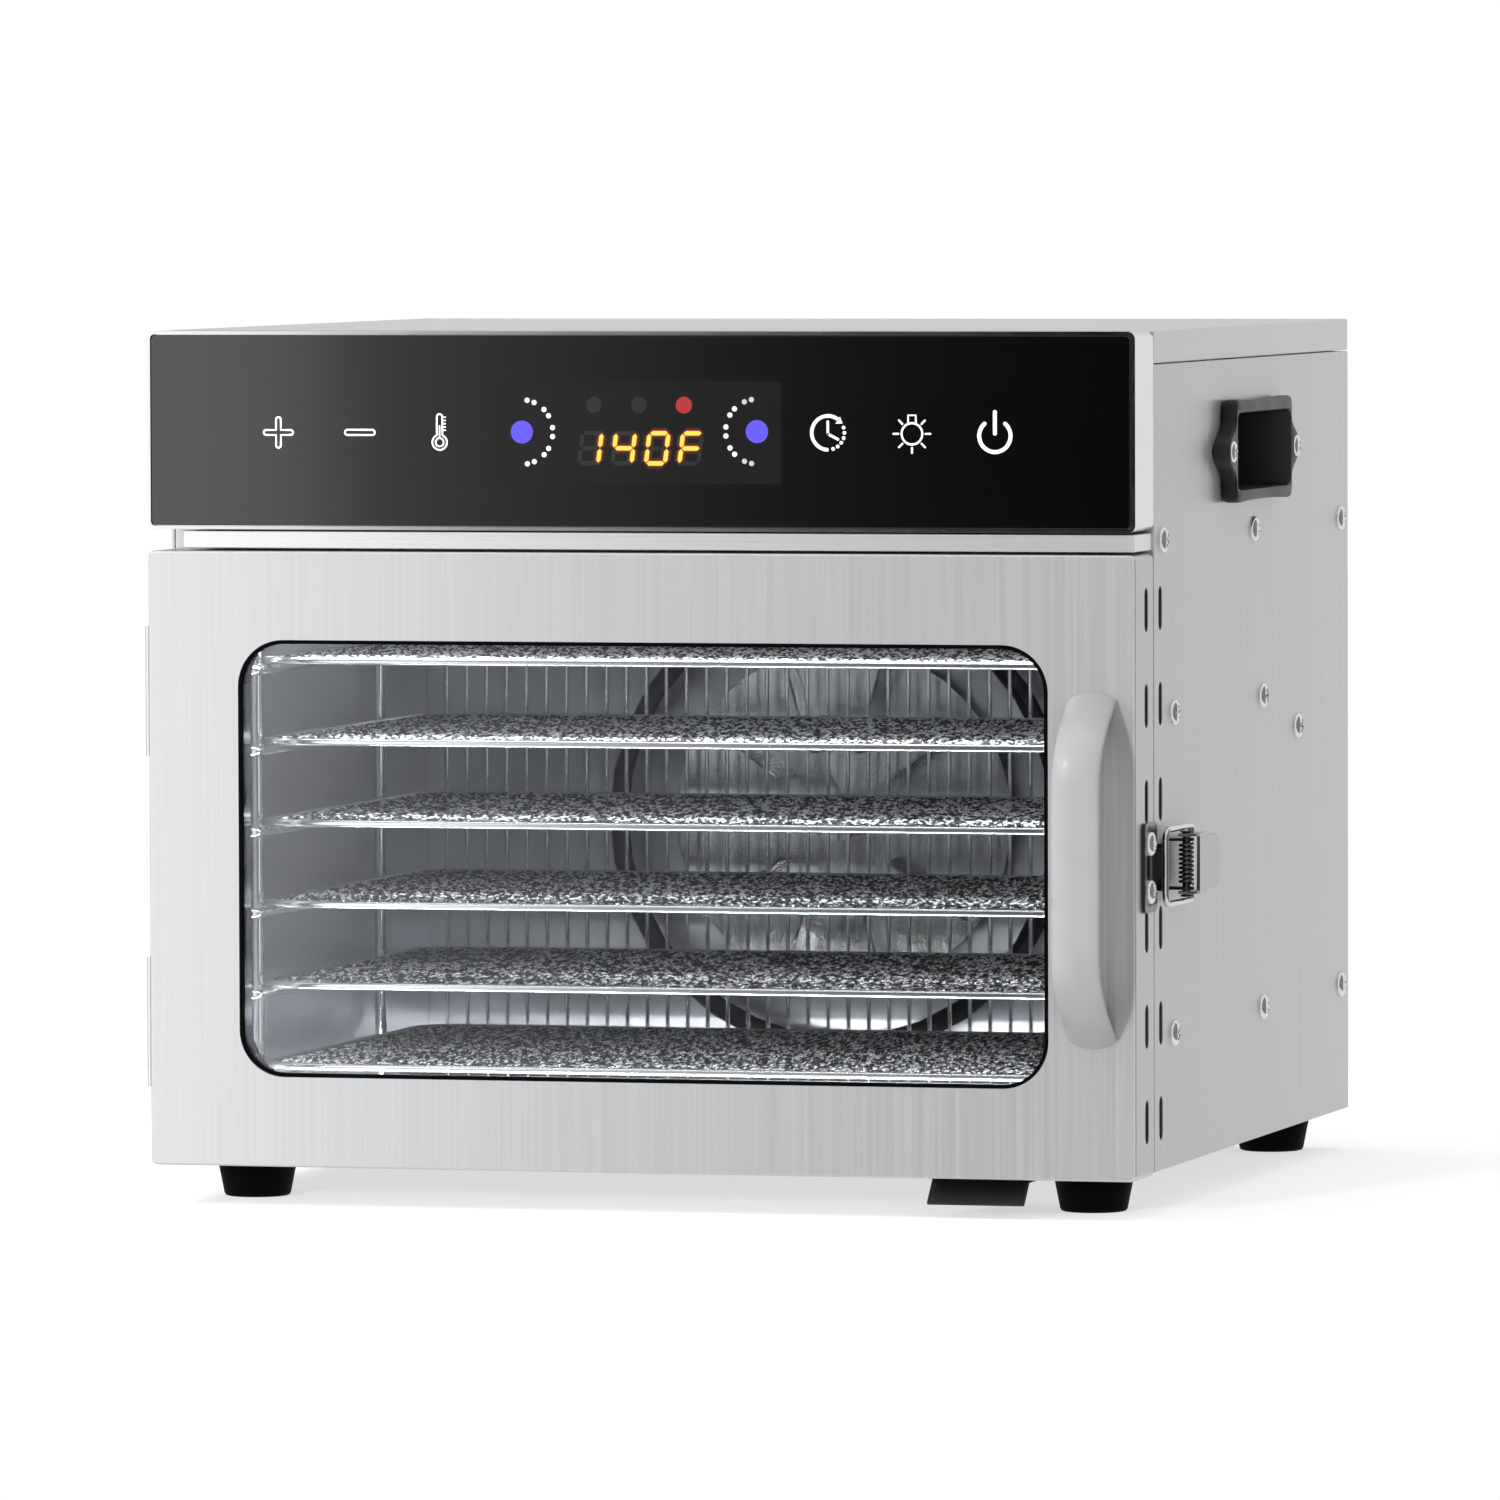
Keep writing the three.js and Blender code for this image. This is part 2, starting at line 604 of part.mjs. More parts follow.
// The keeper's lip stays just inside the closed bail's front wire.
function latchKeeper() {
  const plate = extrude("x", roundedRect(-21, door.back, -16.7, 17.3, 3), gap, 1.5, 4);
  return join(plate, block([1, 3.6], [-2, door.back], [-9, 9]));
}

const latchGroup = groupAt(cabinet.half, 0, latch.z);
add("latch_base", latchBase(), "polishedSteel", latchGroup);
add("latch_pin", latchPin(), "polishedSteel", latchGroup);
add("latch_spring", latchSpring(), "darkMetal", latchGroup);
add("latch_lever", latchLever(), "polishedSteel", latchGroup);
add("latch_bail", latchBail(), "polishedSteel", latchGroup);
add("latch_keeper", latchKeeper(), "darkMetal", latchGroup);

// ---------- carrying cups, feet, door rest and inlet ----------

// A cup sunk into the side, with a proud frame, and an ear with a screw head at each end.
function handleCup() {
  const [ear, half, height] = [cup.ear, cup.half, cup.height];
  const main = extrude("x", roundedRect(-half, half, -height, height, 5), gap, cup.proud, 2);
  const earShape = polygon([
    [-ear, -6],
    [-half, -14],
    [half, -14],
    [ear, -6],
    [ear, 6],
    [half, 14],
    [-half, 14],
    [-ear, 6],
  ]);
  const ears = extrude("x", earShape, gap, cup.proud - 0.4);
  const heads = [-1, 1].map((way) => (
    rod("x", way * cupScrew.y, 0, cupScrew.radius, cup.proud - 1, cup.proud + cupScrew.head, 16)
  ));
  const grow = (margin) => roundedRect(
    -cupMouth.half - margin,
    cupMouth.half + margin,
    cupMouth.bottom - margin,
    cupMouth.top + margin,
    3,
  );
  const bowl = extrude("x", grow(cup.wall), -cup.depth, 1, 2);
  return cut(join(main, ears, bowl, ...heads), extrude("x", grow(0), cup.wall - cup.depth, 20, 2));
}

add("right_handle_cup", handleCup(), "blackPlastic", groupAt(cabinet.half, cup.y, cup.z));
add("left_handle_cup", handleCup(), "blackPlastic", groupAt(-cabinet.half, cup.y, cup.z, Math.PI));

function footCone() {
  const height = cabinet.bottom - gap;
  const profile = [
    [0, 0],
    [foot.bottom - 1, 0],
    [foot.bottom, 1],
    [foot.top, height - 1.5],
    [foot.top, height],
    [0, height],
  ];
  return new THREE.LatheGeometry(profile.map(([r, z]) => new THREE.Vector2(r, z)), 24).rotateX(Math.PI / 2);
}

for (const [place, y] of [["front", foot.front], ["rear", foot.rear]]) {
  for (const [side, sign] of [["left", -1], ["right", 1]]) {
    add(`${place}_${side}_foot`, footCone(), "blackRubber", groupAt(sign * foot.x, y, 0));
  }
}

// Bent plate under the base: its front slopes down as a ramp that guides and carries the door's corner.
function doorRest() {
  const profile = polygon([
    [40, 14.7],
    [40, 16.2],
    [3, 16.2],
    [1.4, 14.6],
    [-20, 14.6],
    [-29, 5.8],
    [-27.9, 4.8],
    [-19.4, 13.1],
    [3, 13.1],
  ]);
  return extrude("x", profile, 113, 151);
}
add("door_rest", doorRest(), "darkMetal");

function mainsInlet() {
  const flange = block([-25, 25], [gap, 2.5], [-12.5, 12.5]);
  const body = block([-inlet.half, inlet.half], [-24, 1], [-inlet.height, inlet.height]);
  const [half, height] = [inlet.mouthHalf, inlet.mouthHeight];
  const mouth = block([-half, half], [-inlet.depth, 5], [-height, height]);
  return cut(join(flange, body), mouth);
}
add("mains_inlet", mainsInlet(), "blackPlastic", groupAt(inlet.x, cabinet.rear - 0.2, inlet.z));

// ---------- origin ----------

dehydrator.updateMatrixWorld(true);
const bounds = new THREE.Box3().setFromObject(dehydrator, true);
const middle = bounds.getCenter(new THREE.Vector3());
dehydrator.position.set(-middle.x, -middle.y, -bounds.min.z);

export default dehydrator;
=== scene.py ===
"""Looks of a countertop food dehydrator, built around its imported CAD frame.

Places are worked out from the frame's boxes. Sizes are in millimetres in the drawing frame of
at(): x = 0 is the cabinet's middle plane, y = 0 the plane where door and cabinet meet (the door
is at -Y) and z = 0 the table.
"""

import json
from math import atan2, cos, degrees, pi, radians, sin, sqrt

import bmesh
import bpy
from mathutils import Matrix, Vector


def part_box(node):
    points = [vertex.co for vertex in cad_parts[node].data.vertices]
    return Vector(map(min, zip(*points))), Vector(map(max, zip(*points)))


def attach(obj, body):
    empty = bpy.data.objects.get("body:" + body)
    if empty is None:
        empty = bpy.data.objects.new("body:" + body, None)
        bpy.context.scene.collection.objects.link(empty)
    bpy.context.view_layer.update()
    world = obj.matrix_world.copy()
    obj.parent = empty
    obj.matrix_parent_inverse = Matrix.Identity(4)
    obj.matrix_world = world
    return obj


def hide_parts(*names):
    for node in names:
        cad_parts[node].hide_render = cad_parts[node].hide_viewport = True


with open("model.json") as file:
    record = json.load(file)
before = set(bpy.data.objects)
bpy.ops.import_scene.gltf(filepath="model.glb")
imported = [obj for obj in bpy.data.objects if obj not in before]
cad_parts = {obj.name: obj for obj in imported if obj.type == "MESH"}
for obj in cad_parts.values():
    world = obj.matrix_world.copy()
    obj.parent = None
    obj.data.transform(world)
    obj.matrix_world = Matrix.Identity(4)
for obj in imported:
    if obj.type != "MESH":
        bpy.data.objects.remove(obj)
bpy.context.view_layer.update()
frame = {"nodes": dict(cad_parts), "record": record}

MM = 0.001
NODES = frame["nodes"]

# ---------------------------------------------------------------- places

FRAME_INSET = 0.5  # how far the front frame stands behind the parting plane

lid_low, lid_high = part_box("top_cover")
parting_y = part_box("front_frame")[0].y - FRAME_INSET * MM
ORIGIN = Vector(((lid_low.x + lid_high.x) / 2, parting_y, 0))


def at(x, y, z):
    """A point given in drawing millimetres, in the row frame."""
    return ORIGIN + Vector((x, y, z)) * MM


def mm(point):
    """A row-frame point in drawing millimetres."""
    return (Vector(point) - ORIGIN) / MM


def box_mm(node):
    low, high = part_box(node)
    return mm(low), mm(high)


# ---------------------------------------------------------------- materials


class Tree:
    """A small helper for building a material's nodes."""

    def __init__(self, name):
        self.material = bpy.data.materials.new(name)
        self.material.use_nodes = True
        self.nodes = self.material.node_tree.nodes
        self.links = self.material.node_tree.links
        self.shader = self.nodes["Principled BSDF"]
        self.place = None

    def link(self, out, into):
        self.links.new(out, into)

    def scaled(self, scale):
        """Object coordinates stretched by a scale on each axis."""
        if self.place is None:
            self.place = self.nodes.new("ShaderNodeTexCoord")
        mapping = self.nodes.new("ShaderNodeMapping")
        mapping.inputs["Scale"].default_value = scale
        self.link(self.place.outputs["Object"], mapping.inputs["Vector"])
        return mapping.outputs["Vector"]

    def noise(self, scale, size=1.0, detail=3.0, roughness=0.55):
        texture = self.nodes.new("ShaderNodeTexNoise")
        texture.inputs["Scale"].default_value = size
        texture.inputs["Detail"].default_value = detail
        texture.inputs["Roughness"].default_value = roughness
        self.link(self.scaled(scale), texture.inputs["Vector"])
        return texture.outputs["Fac"]

    def ranged(self, value, low, high, start=0.3, end=0.7):
        """A value from start to end spread to low-high; noise sits mostly between 0.3 and 0.7."""
        node = self.nodes.new("ShaderNodeMapRange")
        node.inputs["From Min"].default_value = start
        node.inputs["From Max"].default_value = end
        node.inputs["To Min"].default_value = low
        node.inputs["To Max"].default_value = high
        self.link(value, node.inputs["Value"])
        return node.outputs["Result"]

    def mixed(self, value, colour_a, colour_b):
        node = self.nodes.new("ShaderNodeMix")
        node.data_type = "RGBA"
        node.inputs["A"].default_value = (*colour_a, 1)
        node.inputs["B"].default_value = (*colour_b, 1)
        self.link(value, node.inputs["Factor"])
        return node.outputs["Result"]

    def added(self, value_a, value_b, weight_b=1.0):
        node = self.nodes.new("ShaderNodeMath")
        node.operation = "MULTIPLY_ADD"
        node.inputs[1].default_value = weight_b
        self.link(value_b, node.inputs[0])
        self.link(value_a, node.inputs[2])
        return node.outputs["Value"]

    def bump(self, value, strength, distance):
        node = self.nodes.new("ShaderNodeBump")
        node.inputs["Strength"].default_value = strength
        node.inputs["Distance"].default_value = distance
        self.link(value, node.inputs["Height"])
        self.link(node.outputs["Normal"], self.shader.inputs["Normal"])

    def paint(self, value, colour_a, colour_b):
        """Base colour from one colour to another."""
        self.link(self.mixed(value, colour_a, colour_b), self.shader.inputs["Base Color"])

    def polish(self, value, low, high, start=0.3, end=0.7):
        """Roughness from low to high."""
        self.link(self.ranged(value, low, high, start, end), self.shader.inputs["Roughness"])

    def finish_with(self, share, first, second):
        """Ends the material in a mix of two shaders."""
        mix = self.nodes.new("ShaderNodeMixShader")
        self.link(share, mix.inputs["Fac"])
        self.link(first, mix.inputs[1])
        self.link(second, mix.inputs[2])
        self.link(mix.outputs["Shader"], self.nodes["Material Output"].inputs["Surface"])

    def set(self, **values):
        for name, value in values.items():
            self.shader.inputs[name.replace("_", " ")].default_value = value
        return self


def shade(colour, factor):
    return tuple(channel * factor for channel in colour)


GRAIN_LONG = 7.0  # brushing lines along their length, per metre


def brushed(name, colour, along, roughness=0.34, contrast=0.05, across=1100.0):
    """Steel brushed along one axis: long fine lines in colour, roughness and height."""
    tree = Tree(name)
    fine = [across] * 3
    broad = [across * 0.22] * 3
    fine["xyz".index(along)] = GRAIN_LONG
    broad["xyz".index(along)] = GRAIN_LONG * 0.4
    lines = tree.noise(fine, detail=3.0, roughness=0.6)
    bands = tree.noise(broad, detail=2.0)
    grain = tree.added(lines, bands, 0.25)
    spread = tree.ranged(grain, 0.0, 1.0, 0.42, 0.82)
    tree.paint(spread, shade(colour, 1 - contrast), shade(colour, 1 + contrast))
    tree.polish(spread, roughness - 0.04, roughness + 0.04, 0, 1)
    tree.bump(lines, 0.08, 0.00003)
    tree.set(Metallic=0.72)
    if along == "z":
        tree.set(Anisotropic=0.55)
        tangent = tree.nodes.new("ShaderNodeTangent")
        tangent.direction_type = "RADIAL"
        tangent.axis = "Z"
        tree.link(tangent.outputs["Tangent"], tree.shader.inputs["Tangent"])
    return tree.material


def metal(name, colour, roughness, spread=0.05, scale=60.0, metallic=1.0):
    """Plain metal whose polish and tone wander a little, with fine handling marks."""
    tree = Tree(name)
    cloud = tree.noise((scale,) * 3, detail=5.0)
    tree.paint(cloud, shade(colour, 0.9), shade(colour, 1.08))
    tree.polish(cloud, roughness - spread, roughness + spread)
    marks = tree.noise((scale * 14, scale * 14, scale * 3), detail=2.0)
    tree.bump(marks, 0.06, 0.00003)
    tree.set(Metallic=metallic)
    return tree.material


def plastic(name, colour, roughness, texture_mm=0.5, bump=0.25, coat=0.0, specular=0.5):
    """Moulded plastic, rubber or paint with a fine spark-eroded texture."""
    tree = Tree(name)
    cloud = tree.noise((35.0,) * 3, detail=4.0)
    tree.paint(cloud, shade(colour, 0.85), shade(colour, 1.15))
    tree.polish(cloud, roughness - 0.05, roughness + 0.05)
    stipple = tree.noise((1 / (texture_mm * MM),) * 3, detail=2.0)
    tree.bump(stipple, bump, 0.00005)
    tree.set(Coat_Weight=coat, Specular_IOR_Level=specular)
    return tree.material


def crimped(name):
    """Crimped wire seen from afar: painted glints and painted shade, bright and dark noise patches that
    stand in for crests catching light and dips in shade.
    """
    tree = Tree(name)
    glint_noise = tree.noise((430.0, 110.0, 430.0), detail=1.0, roughness=0.6)
    sharp = tree.ranged(glint_noise, 0.0, 1.0, 0.46, 0.58)
    # Painted glints and painted shade: the noise sets the wire's colour from near black to near white.
    tree.paint(sharp, (0.07, 0.07, 0.075), (0.95, 0.95, 0.96))
    tree.polish(glint_noise, 0.12, 0.2)
    tree.set(Metallic=0.9)
    return tree.material


def galvanised(name):
    """Zinc-coated sheet with its crystal spangle."""
    tree = Tree(name)
    spangle = tree.nodes.new("ShaderNodeTexVoronoi")
    spangle.inputs["Scale"].default_value = 1.0
    tree.link(tree.scaled((140.0,) * 3), spangle.inputs["Vector"])
    grey = tree.nodes.new("ShaderNodeSeparateColor")
    tree.link(spangle.outputs["Color"], grey.inputs["Color"])
    tree.paint(grey.outputs["Red"], (0.42, 0.44, 0.45), (0.58, 0.6, 0.61))
    tree.polish(grey.outputs["Green"], 0.38, 0.5)
    tree.set(Metallic=1.0)
    return tree.material


def black_glass(name):
    """Back-painted tempered glass with a trace of surface unevenness."""
    tree = Tree(name)
    cloud = tree.noise((9.0, 9.0, 9.0), detail=2.0)
    tree.paint(cloud, (0.001, 0.001, 0.0011), (0.0017, 0.0017, 0.0018))
    tree.polish(cloud, 0.05, 0.09)
    tree.set(IOR=1.5, Specular_IOR_Level=0.89)
    return tree.material


GLASS_MIRROR = 0.056  # share of light a face of the pane mirrors, seen square on


def clear_glass(name, tint=(0.975, 0.985, 0.99)):
    """A pane: mostly see-through, with a mirror sheen that grows at a slant on both faces."""
    tree = Tree(name)
    through = tree.nodes.new("ShaderNodeBsdfTransparent")
    through.inputs["Color"].default_value = (*tint, 1)
    smear = tree.noise((6.0, 6.0, 22.0), detail=3.0)
    tree.polish(smear, 0.01, 0.035)
    tree.set(Base_Color=(0.9, 0.92, 0.98, 1), Metallic=1.0)
    facing = tree.nodes.new("ShaderNodeLayerWeight")
    facing.inputs["Blend"].default_value = 0.5
    steep = tree.nodes.new("ShaderNodeMath")
    steep.operation = "POWER"
    steep.inputs[1].default_value = 5.0
    tree.link(facing.outputs["Facing"], steep.inputs[0])
    mirror = tree.ranged(steep.outputs["Value"], GLASS_MIRROR, 1.0, 0, 1)
    tree.finish_with(mirror, through.outputs["BSDF"], tree.shader.outputs["BSDF"])
    return tree.material


def glowing(name, colour, strength, base=0.2):
    """A lit lamp or segment, a plastic lens whose light comes from behind; or painted glow spread round
    one.
    """
    tree = Tree(name)
    cloud = tree.noise((400.0,) * 3, detail=1.0)
    tree.paint(cloud, shade(colour, base * 0.9), shade(colour, base))
    tree.set(Roughness=0.35, Emission_Color=(*colour, 1), Emission_Strength=strength)
    return tree.material


STEEL = (0.57, 0.575, 0.58)
BRIGHT = (0.70, 0.71, 0.72)

LOOK = {
    "steel_upright": brushed("steel_upright", STEEL, "z", contrast=0.04),
    "steel_side": brushed("steel_side", STEEL, "z", contrast=0.09, across=700.0),
    "steel_lid": brushed("steel_lid", STEEL, "y", roughness=0.38),
    "steel_cross": brushed("steel_cross", (0.68, 0.685, 0.69), "x", roughness=0.3, contrast=0.03),
    "bright_steel": metal("bright_steel", BRIGHT, 0.16),
    "cavity_steel": metal("cavity_steel", (0.66, 0.67, 0.71), 0.36, spread=0.06, scale=14.0, metallic=0.85),
    "wire_steel": metal("wire_steel", (0.86, 0.87, 0.88), 0.12, spread=0.03, metallic=0.92),
    "crimped_wire_painted_glints": crimped("crimped_wire_painted_glints"),
    "screw_steel": metal("screw_steel", (0.72, 0.73, 0.74), 0.16, scale=300.0, metallic=0.9),
    "chrome": metal("chrome", (0.62, 0.62, 0.63), 0.09, spread=0.03),
    "lever_steel": metal("lever_steel", (0.34, 0.34, 0.345), 0.2, spread=0.03),
    "dark_metal": metal("dark_metal", (0.07, 0.07, 0.075), 0.4),
    # Near-black latch parts: partly their own dark finish, partly painted shade for the deep shade inside
    # the latch.
    "black_chrome_and_shade": metal("black_chrome_and_shade", (0.045, 0.045, 0.047), 0.14, scale=200.0),
    "spring_steel": metal("spring_steel", (0.1, 0.1, 0.105), 0.22, scale=400.0),
    "galvanised": galvanised("galvanised"),
    "silver_paint": plastic(
        "silver_paint", (0.235, 0.238, 0.242), 0.3, texture_mm=0.25, bump=0.06, coat=0.1
    ),
    "black_plastic": plastic("black_plastic", (0.012, 0.012, 0.013), 0.38, specular=0.22),
    "black_rubber": plastic(
        "black_rubber", (0.001, 0.001, 0.0012), 0.6, texture_mm=0.8, bump=0.3, specular=0.04
    ),
    "silicone": plastic("silicone", (0.52, 0.52, 0.5), 0.55, texture_mm=1.0),
    "circuit_board": plastic("circuit_board", (0.02, 0.11, 0.045), 0.35, texture_mm=2.0, coat=0.3),
    "black_glass": black_glass("black_glass"),
    "clear_glass": clear_glass("clear_glass"),
    "white_print": plastic("white_print", (0.66, 0.67, 0.68), 0.5, texture_mm=0.2, bump=0.05),
    "display_film": plastic("display_film", (0.006, 0.006, 0.0065), 0.1, texture_mm=0.6, bump=0.02),
    "ghost_lens": plastic("ghost_lens", (0.012, 0.012, 0.0125), 0.3, texture_mm=0.4, bump=0.05),
    "digit_glow": glowing("digit_glow", (1.0, 0.56, 0.08), 1.15),
    "digit_halo": glowing("digit_halo", (0.33, 0.05, 0.008), 0.55),
    "digit_haze": glowing("digit_haze", (0.07, 0.018, 0.008), 0.4),
    "white_glow": glowing("white_glow", (1.0, 1.0, 1.0), 0.85),
    "half_glow": glowing("half_glow", (1.0, 1.0, 1.0), 0.3),
    "red_glow": glowing("red_glow", (0.46, 0.028, 0.028), 0.7),
    "blue_glow": glowing("blue_glow", (0.115, 0.085, 0.78), 0.85),
}

CAD_LOOKS = {
    "steel_upright": ["front_frame", "door_shell"],
    "steel_side": ["left_side_panel", "right_side_panel", "rear_panel"],
    "steel_lid": ["top_cover"],
    "steel_cross": ["header_strip"],
    "bright_steel": [
        "control_bezel", "door_liner", "fan_impeller", "fan_shaft", "temperature_sensor",
        "lower_hinge_body_leaf", "lower_hinge_door_leaf", "lower_hinge_pin",
        "upper_hinge_body_leaf", "upper_hinge_door_leaf", "upper_hinge_pin",
    ],
    "cavity_steel": [
        "cavity_left_wall", "cavity_right_wall", "cavity_ceiling", "cavity_floor", "rear_baffle",
    ],
    "wire_steel": [
        "fan_guard", "left_tray_rack", "right_tray_rack",
        *[f"tray_{i}" for i in range(1, 7)],
    ],
    "chrome": ["latch_bail"],
    "lever_steel": ["latch_lever"],
    "black_chrome_and_shade": ["latch_base", "latch_pin", "latch_keeper"],
    "dark_metal": ["door_rest", "heater_ring"],
    "spring_steel": ["latch_spring"],
    "galvanised": ["base_panel", "fan_motor"],
    "silver_paint": ["door_handle"],
    "black_plastic": ["left_handle_cup", "right_handle_cup", "mains_inlet", "display_module"],
    "black_rubber": [
        "window_gasket", "front_left_foot", "front_right_foot", "rear_left_foot", "rear_right_foot",
    ],
    "silicone": ["door_seal"],
    "circuit_board": ["touch_board", "power_board"],
    "black_glass": ["control_glass"],
    "clear_glass": ["door_glass", "cavity_lamp"],
}

for look, names in CAD_LOOKS.items():
    for node in names:
        NODES[node].data.materials.clear()
        NODES[node].data.materials.append(LOOK[look])

# ---------------------------------------------------------------- piece helpers


def smooth(mesh, angle=35):
    for polygon in mesh.polygons:
        polygon.use_smooth = True
    mesh.set_sharp_from_angle(angle=radians(angle))


def piece(name, mesh, look, body, replaces=()):
    """Puts a finished mesh into the scene as a piece of the object."""
    mesh.materials.clear()
    mesh.materials.append(LOOK[look])
    obj = bpy.data.objects.new(name, mesh)
    bpy.context.scene.collection.objects.link(obj)
    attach(obj, body)
    if replaces:
        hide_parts(*replaces)
    return obj


def mesh_of(name, bm, angle=35):
    mesh = bpy.data.meshes.new(name)
    bm.to_mesh(mesh)
    bm.free()
    smooth(mesh, angle)
    return mesh


def shape(name, bm, look, body, replaces=(), angle=35):
    """Puts a finished bmesh into the scene as a piece of the object."""
    return piece(name, mesh_of(name, bm, angle), look, body, replaces)


def body_of(node):
    return next(b for b, names in frame["record"]["behaviour"]["bodies"].items() if node in names)


def look_of(node):
    return next(look for look, names in CAD_LOOKS.items() if node in names)


def rounded(node, radius, segments=3, keep=None, turn=30, reshape=None):
    """Replaces a CAD node with the same shape whose sharp edges are rounded by a radius in
    millimetres. keep(a, b) says which edges, by their end points in drawing millimetres, and
    reshape(point) first moves the mesh's points, in the same millimetres."""
    bm = bmesh.new()
    bm.from_mesh(NODES[node].data)
    bmesh.ops.remove_doubles(bm, verts=bm.verts, dist=2e-6)
    bmesh.ops.dissolve_limit(bm, angle_limit=radians(0.6), verts=bm.verts, edges=bm.edges)
    if reshape:
        for vert in bm.verts:
            vert.co = at(*reshape(mm(vert.co)))
    edges = [e for e in bm.edges if e.is_manifold and e.calc_face_angle(0) > radians(turn)]
    if keep:
        edges = [e for e in edges if keep(mm(e.verts[0].co), mm(e.verts[1].co))]
    bmesh.ops.bevel(
        bm,
        geom=edges,
        offset=radius * MM,
        offset_type="OFFSET",
        segments=segments,
        profile=0.5,
        affect="EDGES",
        clamp_overlap=True,
    )
    obj = shape(node + "_shape", bm, look_of(node), body_of(node), [node], 40)
    weighted = obj.modifiers.new("even_shading", "WEIGHTED_NORMAL")
    weighted.keep_sharp = True


def ring_of(bm, centre, u, v, radius, sides):
    """A circle of points about a centre; u and v are its plane's directions."""
    angles = [2 * pi * k / sides for k in range(sides)]
    return [bm.verts.new(centre + (u * cos(a) + v * sin(a)) * radius) for a in angles]


def stitch(bm, rings):
    """Faces from each ring of points to the next. A ring of one point closes to a tip."""
    for a, b in zip(rings, rings[1:]):
        count = max(len(a), len(b))
        for k in range(count):
            n = (k + 1) % count
            if len(a) == 1:
                bm.faces.new((a[0], b[n], b[k]))
            elif len(b) == 1:
                bm.faces.new((a[k], a[n], b[0]))
            else:
                bm.faces.new((a[k], a[n], b[n], b[k]))


def ring_frames(points, closed):
    """A direction and two cross directions at each point of a path, without twist."""
    count = len(points)
    tangents = []
    for i in range(count):
        before = points[i - 1] if i or closed else points[0]
        after = points[(i + 1) % count] if i < count - 1 or closed else points[-1]
        tangents.append((after - before).normalized())
    first = Vector((0, 0, 1)) if abs(tangents[0].z) < 0.9 else Vector((1, 0, 0))
    side = tangents[0].cross(first).normalized()
    frames = []
    for tangent in tangents:
        side = (side - tangent * side.dot(tangent)).normalized()
        frames.append((side, tangent.cross(side)))
    return frames


def add_tube(bm, points, radius, sides=8, closed=False):
    """A round bar along points in metres."""
    frames = ring_frames(points, closed)
    rings = [ring_of(bm, point, u, v, radius, sides) for point, (u, v) in zip(points, frames)]
    if closed:
        stitch(bm, rings[::-1] + [rings[-1]])
    else:
        stitch(bm, rings[::-1])
        bm.faces.new(rings[0])
        bm.faces.new(rings[-1][::-1])


def add_plate(bm, face, back):
    """A flat plate between two like outlines in drawing millimetres."""
    face = [bm.verts.new(at(*point)) for point in face]
    back = [bm.verts.new(at(*point)) for point in back]
    bm.faces.new(face)
    bm.faces.new(back[::-1])
    stitch(bm, [back, face])


def rounded_path(left, right, front, back, corner, z, steps=8):
    """The points of a rounded rectangle in a level plane, in drawing millimetres."""
    centres = [
        (right - corner, front + corner, -pi / 2),
        (right - corner, back - corner, 0),
        (left + corner, back - corner, pi / 2),
        (left + corner, front + corner, pi),
    ]
    points = []
    for cx, cy, start in centres:
        for k in range(steps + 1):
            a = start + pi / 2 * k / steps
            points.append(at(cx + corner * cos(a), cy + corner * sin(a), z))
    return points


def add_revolved(bm, profile, place, axis, sides=32):
    """Turns a profile of (radius, height) pairs about an axis through place; both in millimetres."""
    axis = Vector(axis).normalized()
    u = axis.orthogonal().normalized()
    v = axis.cross(u)
    rings = []
    for r, h in profile:
        centre = place + axis * h * MM
        rings.append(ring_of(bm, centre, u, v, r * MM, sides) if r else [bm.verts.new(centre)])
    stitch(bm, rings)


def arc(x, z, r, start, end, count=24):
    angles = [radians(start + (end - start) * k / count) for k in range(count + 1)]
    return [(x + r * cos(a), z + r * sin(a)) for a in angles]


def circle(x, z, r, count=28):
    return [(x + r * cos(2 * pi * k / count), z + r * sin(2 * pi * k / count)) for k in range(count)]


def capsule(x, z, half_x, half_z, r):
    """A rounded oblong's outline."""
    points = []
    for cx, cz, start in (
        (x + half_x - r, z - half_z + r, -90),
        (x + half_x - r, z + half_z - r, 0),
        (x - half_x + r, z + half_z - r, 90),
        (x - half_x + r, z - half_z + r, 180),
    ):
        points += arc(cx, cz, r, start, start + 90, 5)
    return points


# ---------------------------------------------------------------- screws


def add_screw(bm, place, axis, radius=5.0, height=2.4, spin=0.3):
    """A domed head with a cross recess, its back on place. Sizes in millimetres."""
    axis = Vector(axis).normalized()
    u = Matrix.Rotation(spin, 3, axis) @ axis.orthogonal().normalized()
    v = axis.cross(u)
    sides, dome_rings = 48, 14
    rim = 0.35 * height
    rise = height - rim
    arm, half = 0.56 * radius, 0.13 * radius

    def top(x, y):
        """Height of the head over the sheet: a dome with the cross pressed into it."""
        r = min(1.0, sqrt(x * x + y * y) / radius)
        dome = rim + rise * (sqrt(1 - 0.92 * r * r) - sqrt(0.08) * r**6)
        across, along = sorted((abs(x), abs(y)))
        inside = max(0.0, min(1.0, (half * 1.3 - across) / (half * 0.5)))
        ends = max(0.0, min(1.0, (arm - along) / (arm * 0.25)))
        return dome - 0.5 * height * inside * ends

    rings = [[bm.verts.new(place + axis * top(0, 0) * MM)]]
    for i in range(1, dome_rings + 1):
        spots = circle(0, 0, radius * i / dome_rings, sides)
        rings.append([bm.verts.new(place + (u * x + v * y + axis * top(x, y)) * MM) for x, y in spots])
    foot = ring_of(bm, place, u, v, radius * MM, sides)
    rings.append(foot)
    stitch(bm, rings[::-1])
    bm.faces.new(foot[::-1])


